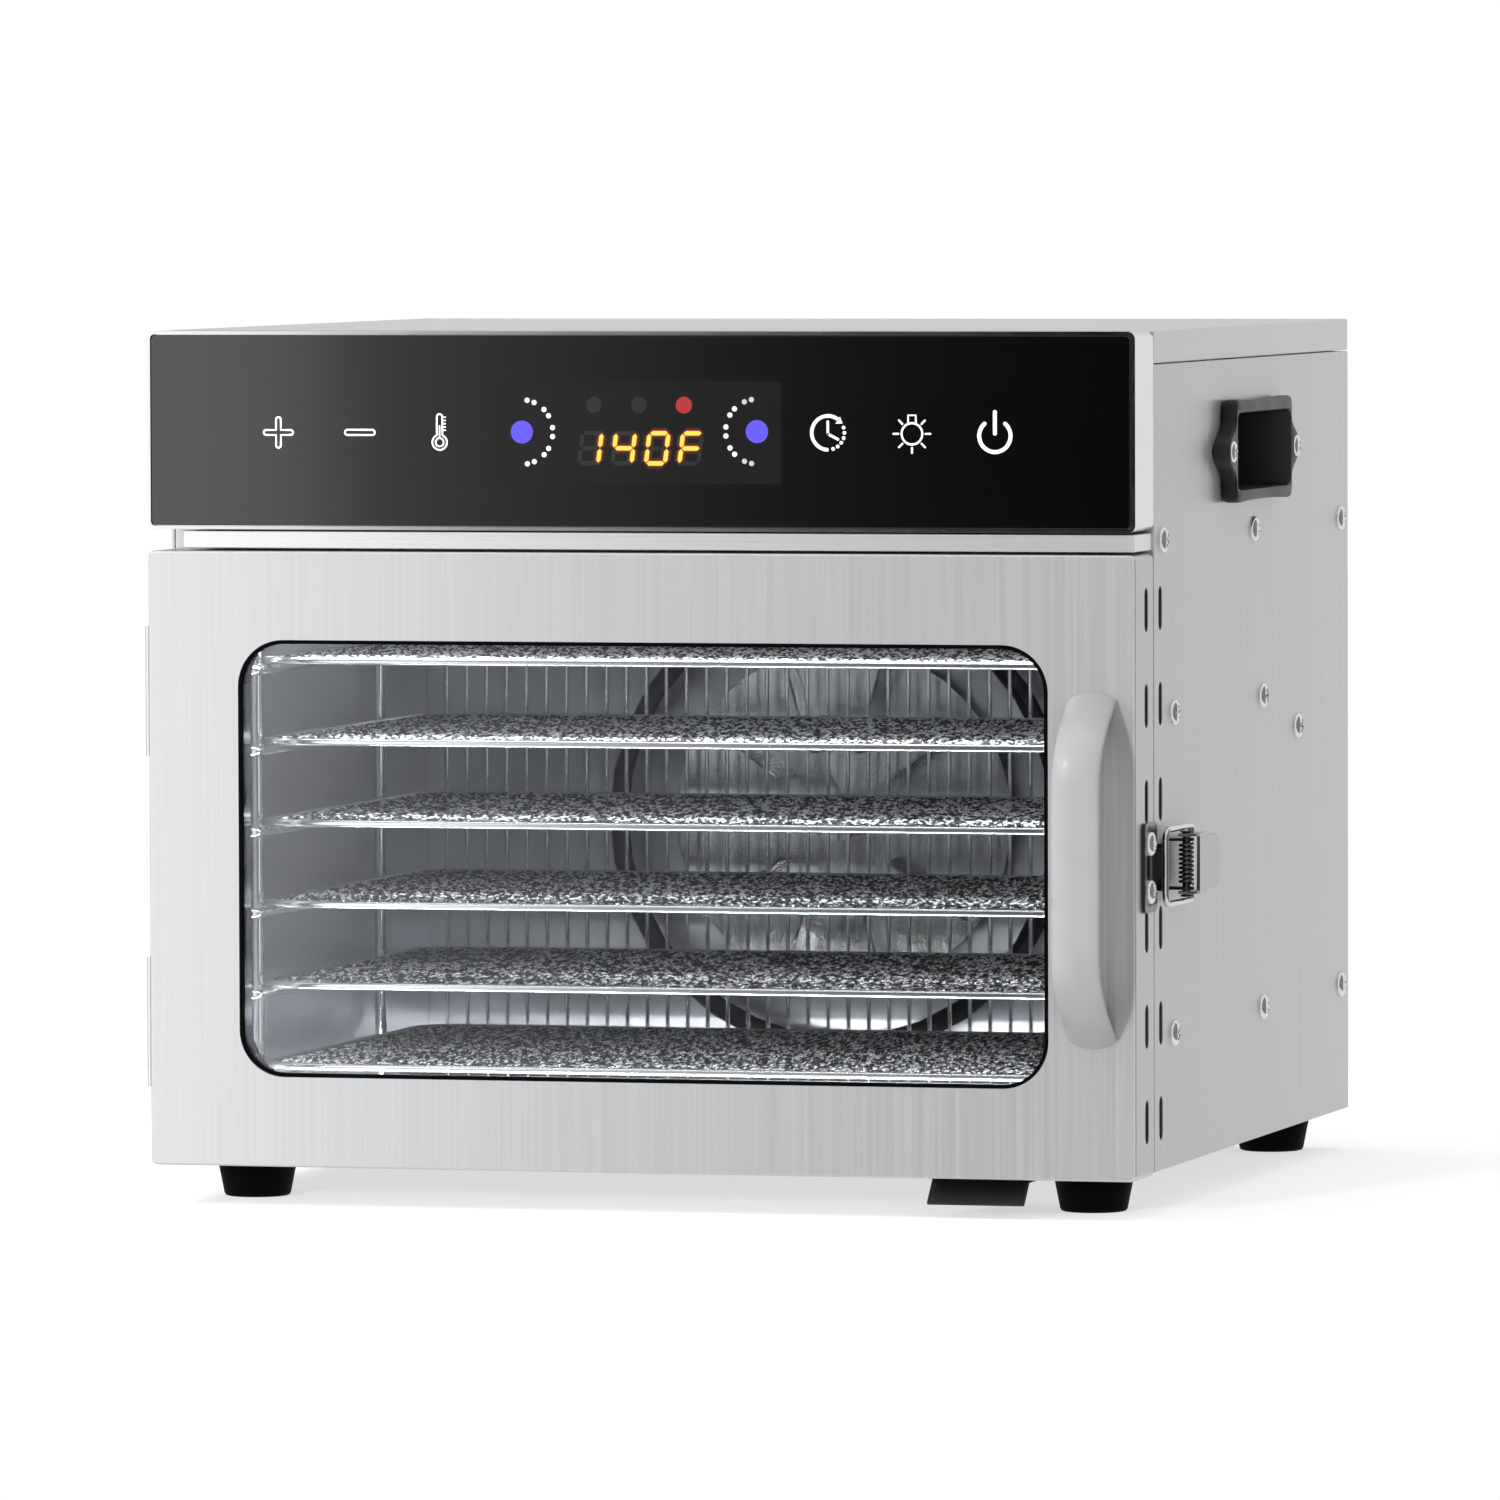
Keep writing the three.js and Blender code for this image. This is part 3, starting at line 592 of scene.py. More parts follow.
def screws(name, places, axis, body, radius=5.0, height=2.4):
    """One piece holding a domed screw at each place, each turned differently."""
    bm = bmesh.new()
    for i, place in enumerate(places):
        add_screw(bm, place, axis, radius, height, spin=0.4 + 1.3 * i)
    shape(name, bm, "screw_steel", body, angle=50)


side_x = mm(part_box("right_side_panel")[1]).x
side_places = [
    (14.5, 256.3), (170, 256), (326, 255.9), (32.5, 189.9), (185, 190), (247, 175.5), (32, 67.4),
    (185, 67.4), (326, 67.4),
]
screws("right_side_screws", [at(side_x, y, z) for y, z in side_places], (1, 0, 0), "housing")
left_places = [p for p in side_places if p[0] > 40]
screws("left_side_screws", [at(-side_x, y, z) for y, z in left_places], (-1, 0, 0), "housing")

rear_y = mm(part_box("rear_panel")[1]).y
rear_places = [(x, z) for x in (-182, 0, 182) for z in (28, 311)] + [(-182, 168), (182, 168)]
screws("rear_screws", [at(x, rear_y, z) for x, z in rear_places], (0, 1, 0), "housing", 3.8, 1.8)

base_z = mm(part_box("base_panel")[0]).z
base_places = [(x, y) for x in (-185, 185) for y in (60, 170, 280)]
screws("base_screws", [at(x, y, base_z) for x, y in base_places], (0, 0, -1), "housing", 3.4, 1.6)

# ---------------------------------------------------------------- cabinet shells


def outer_edge(limit):
    """Edges longer than a limit: the sheet's own outline, and not its slots."""
    return lambda a, b: (a - b).length > limit


rounded("top_cover", 1.0)
rounded("left_side_panel", 0.35, segments=2, keep=outer_edge(25))
rounded("right_side_panel", 0.35, segments=2, keep=outer_edge(25))
rounded("rear_panel", 0.3, segments=2, keep=outer_edge(100))
rounded("front_frame", 0.3, segments=2, keep=outer_edge(25))
rounded("header_strip", 0.7)
rounded("door_rest", 0.45)


def on_front(node, margin=0.3):
    front = box_mm(node)[0].y
    return lambda a, b: max(a.y, b.y) < front + margin


def door_outline(a, b):
    low, high = box_mm("door_shell")
    middle = (a + b) / 2
    reach = 4.0
    outside = (
        min(middle.x - low.x, high.x - middle.x) < reach
        or min(middle.z - low.z, high.z - middle.z) < reach
    )
    return on_front("door_shell")(a, b) and outside


rounded("door_shell", 0.9, segments=4, keep=door_outline)
rounded("control_bezel", 0.35, segments=2, keep=on_front("control_bezel"))
rounded("control_glass", 0.5, segments=3, keep=on_front("control_glass"))

# ---------------------------------------------------------------- vent slots

SLOT_SIZE = (6.0, 16.7)  # width and length
SLOT_MIDDLES = [top - i * 36.3 for top in (230.5, 109.0) for i in range(3)]
BODY_SLOT_Y, DOOR_SLOT_Y = 11.0, -12.0
SHADE_PLATE_DEPTHS = (0.35, 1.1)  # the shade plate's face and back, under the sheet's outside


def slot_shade_plates(name, sign, y, middles, body):
    """Dark plates set in the slots of one side, inside the sheet's thickness: painted shade for the dark
    space behind the slots.
    """
    half_y, half_z = SLOT_SIZE[0] / 2, SLOT_SIZE[1] / 2
    bm = bmesh.new()
    for z in middles:
        outline = capsule(y, z, half_y, half_z, half_y - 0.01)
        add_plate(bm, *([(sign * (side_x - depth), py, pz) for py, pz in outline] for depth in SHADE_PLATE_DEPTHS))
    bmesh.ops.recalc_face_normals(bm, faces=bm.faces)
    shape(name, bm, "black_rubber", body)


def beside_hinge(z):
    """Whether a slot would lie under a hinge leaf."""
    for place in ("lower", "upper"):
        low, high = box_mm(f"{place}_hinge_body_leaf")
        if abs(z - (low.z + high.z) / 2) < (high.z - low.z + SLOT_SIZE[1]) / 2:
            return True
    return False


clear_of_hinges = [z for z in SLOT_MIDDLES if not beside_hinge(z)]
slot_shade_plates("right_slot_shade_plates", 1, BODY_SLOT_Y, SLOT_MIDDLES, "housing")
slot_shade_plates("left_slot_shade_plates", -1, BODY_SLOT_Y, clear_of_hinges, "housing")
slot_shade_plates("door_slot_shade_plates", 1, DOOR_SLOT_Y, SLOT_MIDDLES, "door")

# ---------------------------------------------------------------- door handle


def bezier(a, b, c, d, count):
    """Points on a cubic curve with end points a and d."""
    points = []
    for k in range(count + 1):
        t = k / count
        w = (1 - t) ** 3, 3 * t * (1 - t) ** 2, 3 * t * t * (1 - t), t**3
        points.append(tuple(sum(share * x for share, x in zip(w, xs)) for xs in zip(a, b, c, d)))
    return points


HANDLE_THICK = 6.0

handle_low, handle_high = box_mm("door_handle")


def handle_side(top):
    """Outer and inner edge of the bow's side view, from one end on the door to mid height."""
    base, out = handle_high.y, handle_low.y
    under = out + HANDLE_THICK
    end = handle_high.z if top else handle_low.z
    way = -1 if top else 1
    # Each curve's four points: place out from the door, and distance from the bow's end.
    outer_curve = (base, 0), (base - 12, 7), (out, 19), (out, 36)
    inner_curve = (base, 8), (base - 9, 13), (under, 24), (under, 40)
    middle = (handle_low.z + handle_high.z) / 2
    edges = []
    for curve in (outer_curve, inner_curve):
        edge = bezier(*[(y, end + way * along) for y, along in curve], 20)
        y, z = edge[-1]
        edges.append(edge + [(y, z + (middle - z) * share) for share in (0.25, 0.5, 0.75)])
    return edges


def handle_bar(name, section, look, replaces=()):
    """Sweeps a cross-section along the bow. The section's points are (across, deep): across is
    -1 to 1 over the bar's width and deep is 0 on the outside and 1 on the inside."""
    low_outer, low_inner = handle_side(False)
    top_outer, top_inner = handle_side(True)
    outer = low_outer + top_outer[::-1]
    inner = low_inner + top_inner[::-1]
    middle = (handle_low.x + handle_high.x) / 2
    half = (handle_high.x - handle_low.x) / 2
    bm = bmesh.new()
    rings = []
    for (oy, oz), (iy, iz) in zip(outer, inner):
        ring = []
        for across, deep in section:
            y = min(oy + (iy - oy) * deep, handle_high.y)
            ring.append(bm.verts.new(at(middle + half * across, y, oz + (iz - oz) * deep)))
        rings.append(ring)
    stitch(bm, rings)
    bm.faces.new(rings[0][::-1])
    bm.faces.new(rings[-1])
    bmesh.ops.recalc_face_normals(bm, faces=bm.faces)
    shape(name, bm, look, "door", replaces, 50)


crown = [(s / 10, 0.36 * (s / 10) ** 2) for s in range(-10, 11)]
crown[0], crown[-1] = (-0.985, 0.37), (0.985, 0.37)
lip = [(1.0, 0.42), (1.0, 0.5), (0.97, 0.56)]
back = [(0.8, 0.78), (-0.8, 0.78)]
section = crown + lip + back + [(-across, deep) for across, deep in lip[::-1]]
handle_bar("door_handle_bar", section, "silver_paint", ["door_handle"])
# A black back on the bow's inner side: partly a guessed hollow back, mostly a dark piece put in for shade,
# so the door beside the handle mirrors it dark.
shade_back = [(0.86, 0.74), (0.8, 0.9), (0.62, 1.0), (-0.62, 1.0), (-0.8, 0.9), (-0.86, 0.74)]
handle_bar("door_handle_shade_back", shade_back, "black_plastic")

# ---------------------------------------------------------------- carrying cups, inlet, feet


CUP_RING = 160  # points round the cup's outline
CUP_HALF = 49.0  # half length of the frame without its ears
CUP_MOUTH = (46.0, -15.1, 14.7)  # half length, bottom and top of the opening
CUP_MOUTH_CORNER = 3.0
CUP_CORNER = 4.0
CUP_EAR = 12.0  # half height of the ear that holds a screw
CUP_WAIST = 0.8  # how far the long edges curve in
CUP_PROUD = 6.7  # how far the frame stands off the side
CUP_DEPTH = 25.0
CUP_SCREW = 55.5  # screws, from the cup's middle


def cup_outline(half_y, half_z, ear):
    """The frame's outline: a rounded oblong, a little waisted, with an ear at each end."""
    steps = 24
    y_in, z_in = half_y - CUP_CORNER, half_z - CUP_CORNER
    side = []
    for k in range(-steps, steps + 1):
        z = z_in * k / steps
        swell = 0.5 + 0.5 * cos(pi * z / CUP_EAR) if abs(z) < CUP_EAR else 0.0
        side.append((half_y + ear * swell, z))
    top = []
    for k in range(1, 40):
        y = y_in * (1 - k / 20)
        top.append((y, half_z - CUP_WAIST * (1 - (y / y_in) ** 2)))
    half = side + arc(y_in, z_in, CUP_CORNER, 0, 90, 8)[1:] + top
    other = [(-y, -z) for y, z in half]
    upper = arc(-y_in, z_in, CUP_CORNER, 90, 180, 8)[:-1]
    lower = arc(y_in, -z_in, CUP_CORNER, -90, 0, 8)[:-1]
    return half + upper + other + lower


def ray_hit(line, angle):
    """Where a ray from the middle leaves a closed outline."""
    dx, dz = cos(angle), sin(angle)
    best = 0.0
    for (x0, z0), (x1, z1) in zip(line, line[1:] + line[:1]):
        ex, ez = x1 - x0, z1 - z0
        cross = dx * ez - dz * ex
        if abs(cross) < 1e-12:
            continue
        t = (x0 * ez - z0 * ex) / cross
        u = (x0 * dz - z0 * dx) / cross
        if -1e-9 <= u <= 1 + 1e-9 and t > best:
            best = t
    return best * dx, best * dz


def handle_cup(side, sign):
    """A carrying cup: the frame's ring of points is followed over its edge and into the hollow."""
    node = f"{side}_handle_cup"
    low, high = box_mm(node)
    middle_y, middle_z = (low.y + high.y) / 2, (low.z + high.z) / 2
    outer = cup_outline(CUP_HALF, (high.z - low.z) / 2, (high.y - low.y) / 2 - CUP_HALF)
    mouth_half, mouth_low, mouth_high = CUP_MOUTH
    rise = (mouth_high - mouth_low) / 2
    mouth = capsule(0, (mouth_low + mouth_high) / 2, mouth_half, rise, CUP_MOUTH_CORNER)

    def placed(bm, ring):
        """New vertices for points given as (height off the side, y, z) about the cup's middle."""
        return [bm.verts.new(at(sign * (side_x + u), middle_y + y, middle_z + z)) for u, y, z in ring]

    rings = []
    for line, inset, height in (
        (outer, 0.0, 0.3 * CUP_PROUD),
        (outer, 0.0, 0.86 * CUP_PROUD),
        (outer, 0.3, 0.95 * CUP_PROUD),
        (outer, 0.9, CUP_PROUD),
        (mouth, -1.0, CUP_PROUD),
        (mouth, -0.3, 0.95 * CUP_PROUD),
        (mouth, 0.0, 0.85 * CUP_PROUD),
        (mouth, 0.4, 2.0 - CUP_DEPTH),
    ):
        ring = []
        for k in range(CUP_RING):
            y, z = ray_hit(line, 2 * pi * k / CUP_RING)
            scale = 1 - inset / sqrt(y * y + z * z)
            ring.append((height, y * scale, z * scale))
        rings.append(ring)
    back = [(0.3, y * 0.98, z * 0.98) for u, y, z in rings[0]]
    floor = [(-CUP_DEPTH, y * 0.96, z * 0.9) for u, y, z in rings[-1]]
    bm = bmesh.new()
    made = [placed(bm, ring) for ring in (back, *rings, floor)]
    stitch(bm, made)
    bm.faces.new(made[-1])
    bmesh.ops.recalc_face_normals(bm, faces=bm.faces)
    shape(f"{node}_shape", bm, "black_plastic", "housing", [node], 40)
    face_x = side_x + CUP_PROUD
    ends = [at(sign * face_x, middle_y + way * CUP_SCREW, middle_z) for way in (-1, 1)]
    head = max(abs(low.x), abs(high.x)) - face_x
    screws(f"{side}_cup_screws", ends, (sign, 0, 0), "housing", 4.2, head)


handle_cup("left", -1)
handle_cup("right", 1)

INLET_PIN = (2.0, 11.0, 4.0)  # width, length and height
INLET_THIN = 1.1  # the flange is drawn this much thinner, so its screws stay inside the box


def thinner_flange(point):
    if point.y > box_mm("mains_inlet")[1].y - 0.1:
        point.y -= INLET_THIN
    return point


rounded("mains_inlet", 0.5, keep=lambda a, b: min(a.y, b.y) > rear_y + 0.9, reshape=thinner_flange)
inlet_low, inlet_high = box_mm("mains_inlet")
inlet_x = (inlet_low.x + inlet_high.x) / 2
inlet_z = (inlet_low.z + inlet_high.z) / 2
bm = bmesh.new()
for dx, dz in ((-7, -2), (0, 2), (7, -2)):
    place = at(inlet_x + dx, inlet_low.y + 14.5, inlet_z + dz)
    scale = Matrix.Diagonal((*(side * MM for side in INLET_PIN), 1))
    bmesh.ops.create_cube(bm, size=1, matrix=Matrix.Translation(place) @ scale)
bmesh.ops.bevel(bm, geom=bm.edges[:], offset=0.4 * MM, segments=2, profile=0.5, affect="EDGES")
shape("inlet_pins", bm, "bright_steel", "housing")
inlet_screws = [at(inlet_x + dx, inlet_high.y - INLET_THIN, inlet_z) for dx in (-20, 20)]
screws("inlet_screws", inlet_screws, (0, 1, 0), "housing", 2.6, INLET_THIN - 0.1)

for place in ("front_left", "front_right", "rear_left", "rear_right"):
    node = f"{place}_foot"
    low, high = box_mm(node)
    middle = at((low.x + high.x) / 2, (low.y + high.y) / 2, 0)
    top = (high.x - low.x) / 2
    height = high.z
    foot_profile = [
        (0, 4.0), (3.4, 4.0), (3.4, 0.5), (3.9, 0), (top - 4.3, 0), (top - 3.3, 0.3), (top - 2.8, 1.2),
        (top - 0.15, height - 1.6), (top, height - 0.9), (top - 0.3, height - 0.2), (top - 0.8, height),
        (0, height),
    ]
    bm = bmesh.new()
    add_revolved(bm, foot_profile, middle, (0, 0, 1), sides=64)
    bmesh.ops.recalc_face_normals(bm, faces=bm.faces)
    shape(f"{node}_shape", bm, "black_rubber", "housing", [node], 45)

# ---------------------------------------------------------------- hinges

for place in ("lower", "upper"):
    for half in ("body", "door"):
        rounded(f"{place}_hinge_{half}_leaf", 0.4, segments=2, keep=outer_edge(6))
    low, high = box_mm(f"{place}_hinge_body_leaf")
    heights = [(low.z + high.z) / 2 + dz for dz in (-16.5, 16.5)]
    leaf_x = -side_x - 1.9
    body_screws = [at(leaf_x, 18.5, z) for z in heights]
    door_screws = [at(leaf_x, -18.5, z) for z in heights]
    screws(f"{place}_hinge_body_screws", body_screws, (-1, 0, 0), "housing", 3.6, 1.9)
    screws(f"{place}_hinge_door_screws", door_screws, (-1, 0, 0), "door", 3.6, 1.9)

# ---------------------------------------------------------------- draw latch

rounded("latch_keeper", 0.5, segments=3, keep=outer_edge(0.8))
rounded("latch_base", 0.4, segments=2, keep=outer_edge(2))
rounded("latch_lever", 0.45, segments=3, keep=outer_edge(1.2))
rounded("latch_pin", 0.35, segments=2)

keeper_low, keeper_high = box_mm("latch_keeper")
keeper_z = (keeper_low.z + keeper_high.z) / 2
keeper_places = [at(side_x + 1.5, -13, keeper_z + dz) for dz in (-9, 9)]
screws("keeper_screws", keeper_places, (1, 0, 0), "door", 4.6, 2.3)

spring_low, spring_high = box_mm("latch_spring")
spring_x = (spring_low.x + spring_high.x) / 2
spring_y = (spring_low.y + spring_high.y) / 2
turns, wire_r, coil_r = 9, 0.55, 2.45
rise = spring_high.z - spring_low.z - 2 * wire_r
coil = []
for i in range(turns * 20 + 1):
    share = i / (turns * 20)
    a = 2 * pi * turns * share
    z = spring_low.z + wire_r + rise * share
    coil.append(at(spring_x + coil_r * cos(a), spring_y + coil_r * sin(a), z))
bm = bmesh.new()
add_tube(bm, coil, wire_r * MM, sides=8)
shape("latch_spring_coil", bm, "spring_steel", "housing", ["latch_spring"], 60)

bail_low, bail_high = box_mm("latch_bail")
bail_wire = 1.25  # radius
bail_reach = 35.0  # from the pivot to the front wire
bail_corner = 4.5
pivot = Vector((side_x + 7, 32, (bail_low.z + bail_high.z) / 2))
front = Vector((side_x + 5.2, pivot.y - bail_reach, pivot.z))
leg = (bail_high.z - bail_low.z) / 2 - bail_wire

# The upper half of the wire, as (share of the way from pivot to front, height): the end turned into
# the lever, the bend, the leg and the front corner.
half_path = [(0, 10.4), (0, 11.4), (0.004, leg - 1.0), (0.018, leg - 0.25), (0.045, leg)]
half_path += [(share, leg) for share in (0.2, 0.4, 0.6, 0.8)]
for k in range(7):
    a = pi / 2 * k / 6
    half_path.append((1 - bail_corner * (1 - sin(a)) / bail_reach, leg - bail_corner * (1 - cos(a))))
points = []
for share, z in half_path + [(share, -z) for share, z in reversed(half_path)]:
    spot = pivot.lerp(front, share)
    points.append(at(spot.x, spot.y, pivot.z + z))
bm = bmesh.new()
add_tube(bm, points, bail_wire * MM, sides=16)
shape("latch_bail_wire", bm, "chrome", "latch_bail_body", ["latch_bail"], 60)

# ---------------------------------------------------------------- trays

WEAVE_PITCH = 5.0
WEAVE_WIRE = 0.6  # radius
WEAVE_WAVE = 0.65  # crimp height

tray_low, tray_high = box_mm("tray_1")
TRAY_ROD = (tray_high.z - tray_low.z) / 2
TRAY_CORNER = 20.0


def tray_rim():
    """The rim rod of the lowest tray."""
    r = TRAY_ROD
    z = (tray_low.z + tray_high.z) / 2
    sides = tray_low.x + r, tray_high.x - r, tray_low.y + r, tray_high.y - r
    bm = bmesh.new()
    add_tube(bm, rounded_path(*sides, TRAY_CORNER - r, z, 10), r * MM, sides=16, closed=True)
    return mesh_of("tray_rim", bm, 60)


def tray_weave():
    """The crimped wires of the lowest tray, over and under each other."""
    z = (tray_low.z + tray_high.z) / 2
    middle = (tray_low + tray_high) / 2
    half_x = (tray_high.x - tray_low.x) / 2 - TRAY_ROD
    half_y = (tray_high.y - tray_low.y) / 2 - TRAY_ROD
    reach = TRAY_CORNER - TRAY_ROD
    bm = bmesh.new()

    def end_at(offset, half_across, half_along):
        """How far a wire runs at this distance from the middle before it meets the rim."""
        into_corner = max(0.0, abs(offset) - (half_across - reach))
        return half_along - reach + sqrt(max(0.0, reach * reach - into_corner * into_corner))

    lays = (True, half_x, half_y, 1), (False, half_y, half_x, -1)
    for across_x, half_across, half_along, sign in lays:
        count = int(half_across * 2 / WEAVE_PITCH)
        for i in range(count + 1):
            offset = (i - count / 2) * WEAVE_PITCH
            end = end_at(offset, half_across, half_along)
            steps = max(2, round(4 * end / WEAVE_PITCH))
            line = []
            for k in range(steps + 1):
                along = -end + 2 * end * k / steps
                wave = sign * WEAVE_WAVE * cos(pi * (along / WEAVE_PITCH + i))
                x, y = (offset, along) if across_x else (along, offset)
                line.append(at(middle.x + x, middle.y + y, z + wave))
            add_tube(bm, line, WEAVE_WIRE * MM, sides=5)
    return mesh_of("tray_weave", bm, 60)


rim, weave = tray_rim(), tray_weave()
for i in range(1, 7):
    lift = Matrix.Translation((0, 0, (box_mm(f"tray_{i}")[0].z - tray_low.z) * MM))
    rim_copy, weave_copy = rim.copy(), weave.copy()
    rim_copy.transform(lift)
    weave_copy.transform(lift)
    body = f"tray_{i}_body"
    piece(f"tray_{i}_rim", rim_copy, "wire_steel", body, [f"tray_{i}"])
    piece(f"tray_{i}_weave", weave_copy, "crimped_wire_painted_glints", body)

# ---------------------------------------------------------------- racks, guard and lamp


RACK_POSTS = (40, 205)  # places along y


def rack(side, sign):
    """Wire posts with a rail under each tray; each rail's front end turns out to the wall."""
    node = f"{side}_tray_rack"
    low, high = box_mm(node)
    rail_x, post_x, rail_r, post_r = 164.0, 173.0, 2.0, 2.4
    bend = 5.0
    bm = bmesh.new()
    for y in RACK_POSTS:
        add_tube(bm, [at(sign * post_x, y, low.z), at(sign * post_x, y, high.z)], post_r * MM, sides=16)
    for i in range(1, 7):
        z = box_mm(f"tray_{i}")[0].z - 0.3 - rail_r
        path = [at(sign * rail_x, high.y, z), at(sign * rail_x, low.y + bend, z)]
        for k in range(1, 7):
            a = pi / 2 * k / 6
            x = rail_x + bend * (1 - cos(a))
            path.append(at(sign * x, low.y + bend - (bend - rail_r) * sin(a), z))
        path.append(at(sign * (post_x + 1.5), low.y + rail_r, z))
        add_tube(bm, path, rail_r * MM, sides=12)
        for y in RACK_POSTS:
            add_tube(bm, [at(sign * rail_x, y, z), at(sign * post_x, y, z)], 1.5 * MM, sides=10)
    shape(f"{node}_wires", bm, "wire_steel", "housing", [node], 60)


rack("left", -1)
rack("right", 1)

GUARD_WIRES, GUARD_PITCH = 39, 8.4
guard_low, guard_high = box_mm("fan_guard")
guard_y = (guard_low.y + guard_high.y) / 2
bar_r = (guard_high.y - guard_low.y) / 2
bm = bmesh.new()
for z in (guard_low.z + bar_r, guard_high.z - bar_r):
    add_tube(bm, [at(guard_low.x, guard_y, z), at(guard_high.x, guard_y, z)], bar_r * MM, sides=12)
wire_y = guard_y - 0.8
for i in range(GUARD_WIRES):
    x = (i - GUARD_WIRES // 2) * GUARD_PITCH
    add_tube(bm, [at(x, wire_y, guard_low.z), at(x, wire_y, guard_high.z)], 0.9 * MM, sides=8)
shape("fan_guard_wires", bm, "wire_steel", "housing", ["fan_guard"], 60)

for node in ("fan_motor", "heater_ring", "temperature_sensor", "cavity_lamp", "fan_shaft"):
    smooth(NODES[node].data)
rounded("fan_impeller", 0.3, segments=2, keep=outer_edge(3))

# ---------------------------------------------------------------- printed symbols and display

glass_y = box_mm("control_glass")[0].y
PRINT = 0.06  # how far ink stands off the glass


def add_flat(bm, outline, y, thick=PRINT):
    """A flat plate on the glass from its outline in (x, z), in drawing millimetres."""
    add_plate(bm, *([(x, depth, z) for x, z in outline] for depth in (y - thick, y)))


def add_stroke(bm, line, width, closed=False):
    """A pen line of a given width with round ends, as one flat band on the glass."""
    count = len(line)
    left, right = [], []
    for i, (x, z) in enumerate(line):
        before = line[i - 1] if i or closed else line[0]
        after = line[(i + 1) % count] if i < count - 1 or closed else line[-1]
        dx, dz = after[0] - before[0], after[1] - before[1]
        length = sqrt(dx * dx + dz * dz) or 1.0
        nx, nz = -dz / length * width / 2, dx / length * width / 2
        left.append((x + nx, z + nz))
        right.append((x - nx, z - nz))
    if closed:
        sides = ((left, 0), (left, PRINT), (right, PRINT), (right, 0))
        rings = [[bm.verts.new(at(x, glass_y - up, z)) for x, z in side] for side, up in sides]
        stitch(bm, rings + rings[:1])
        return

    def cap(middle, start):
        """The points of a round end, from the start of its half circle."""
        angle = degrees(atan2(start[1] - middle[1], start[0] - middle[0]))
        return arc(*middle, width / 2, angle, angle + 180, 8)[1:-1]

    add_flat(bm, cap(line[0], left[0]) + right + cap(line[-1], right[-1]) + left[::-1], glass_y)


def symbol(name, draw, look="white_print"):
    bm = bmesh.new()
    draw(bm)
    bmesh.ops.recalc_face_normals(bm, faces=bm.faces)
    shape(name, bm, look, "housing", angle=30)


def draw_plus(bm):
    x, z, reach, half, r = -142.2, 297.2, 5.85, 0.95, 0.94
    line = []
    for k in range(4):
        a = radians(90 * k)
        lower = arc(reach - r, -half + r, r, -90, 0, 4)
        upper = arc(reach - r, half - r, r, 0, 90, 4)
        for px, pz in [*lower, *upper, (half, half)]:
            line.append((x + px * cos(a) - pz * sin(a), z + px * sin(a) + pz * cos(a)))
    add_stroke(bm, line, 0.75, closed=True)


def draw_minus(bm):
    add_stroke(bm, capsule(-109.6, 297.3, 5.95, 1.0, 0.99), 0.75, closed=True)


def draw_thermometer(bm):
    x, low, high = -77.8, 290.9, 304.4
    bulb_z, bulb_r, half = low + 2.7, 2.9, 1.1
    join = sqrt(bulb_r**2 - half**2)
    start = atan2(join, half) * 180 / pi
    line = arc(x, bulb_z, bulb_r, 180 - start, 360 + start, 24)
    line += arc(x, high - half, half, 0, 180, 8)
    add_stroke(bm, line, 0.7, closed=True)
    add_stroke(bm, circle(x, bulb_z, 1.6, 20), 0.65, closed=True)
    add_stroke(bm, [(x, bulb_z + 1.9), (x, bulb_z + 6.2)], 0.6)
    for k in range(5):
        z = high - 1.2 - 1.25 * k
        add_stroke(bm, [(x + 1.5, z), (x + 2.3, z)], 0.55)


def draw_clock(bm):
    x, z, r = 75.6, 297.6, 6.4
    add_stroke(bm, arc(x, z, r, 52, 266, 36), 1.35)
    for angle in (-72, -54, -36, -18, 0, 18):
        a = radians(angle)
        add_flat(bm, circle(x + r * cos(a), z + r * sin(a), 0.72, 14), glass_y)
    tip = radians(36)
    tx, tz = x + r * cos(tip), z + r * sin(tip)
    add_flat(bm, [(tx + 0.5, tz - 0.2), (tx - 0.5, tz + 2.4), (tx - 2.3, tz - 0.3)], glass_y)
    add_stroke(bm, [(x - 0.1, z + 4.2), (x - 0.1, z - 0.4)], 1.0)
    add_stroke(bm, [(x - 0.1, z - 0.4), (x + 3.9, z - 2.5)], 1.0)


def draw_bulb(bm):
    x, z, r = 108.4, 297.3, 4.05
    add_stroke(bm, circle(x, z, r, 32), 0.8, closed=True)
    base = [(-1.5, 4.2), (-1.5, 7.0), (1.5, 7.0), (1.5, 4.2)]
    add_stroke(bm, [(x + dx, z + dz) for dx, dz in base], 0.75)
    for angle in (180, 0, 225, 270, 315, 135, 45):
        a = radians(angle)
        add_stroke(bm, [(x + r * cos(a), z + r * sin(a)) for r in (5.3, 7.2)], 0.75)


def draw_power(bm):
    x, z, r = 140.7, 296.6, 6.1
    add_stroke(bm, arc(x, z, r, 131, 409, 40), 1.5)
    add_stroke(bm, [(x, z + 9.0), (x, z + 0.9)], 1.5)


symbol("plus_symbol", draw_plus)
symbol("minus_symbol", draw_minus)
symbol("thermometer_symbol", draw_thermometer)
symbol("clock_symbol", draw_clock)
symbol("light_symbol", draw_bulb)
symbol("power_symbol", draw_power)

display_low, display_high = box_mm("display_module")


def draw_display(bm):
    outline = capsule(
        (display_low.x + display_high.x) / 2,
        (display_low.z + display_high.z) / 2,
        (display_high.x - display_low.x) / 2,
        (display_high.z - display_low.z) / 2,
        1.0,
    )
    add_flat(bm, outline, glass_y, 0.03)


symbol("display_window", draw_display, "display_film")

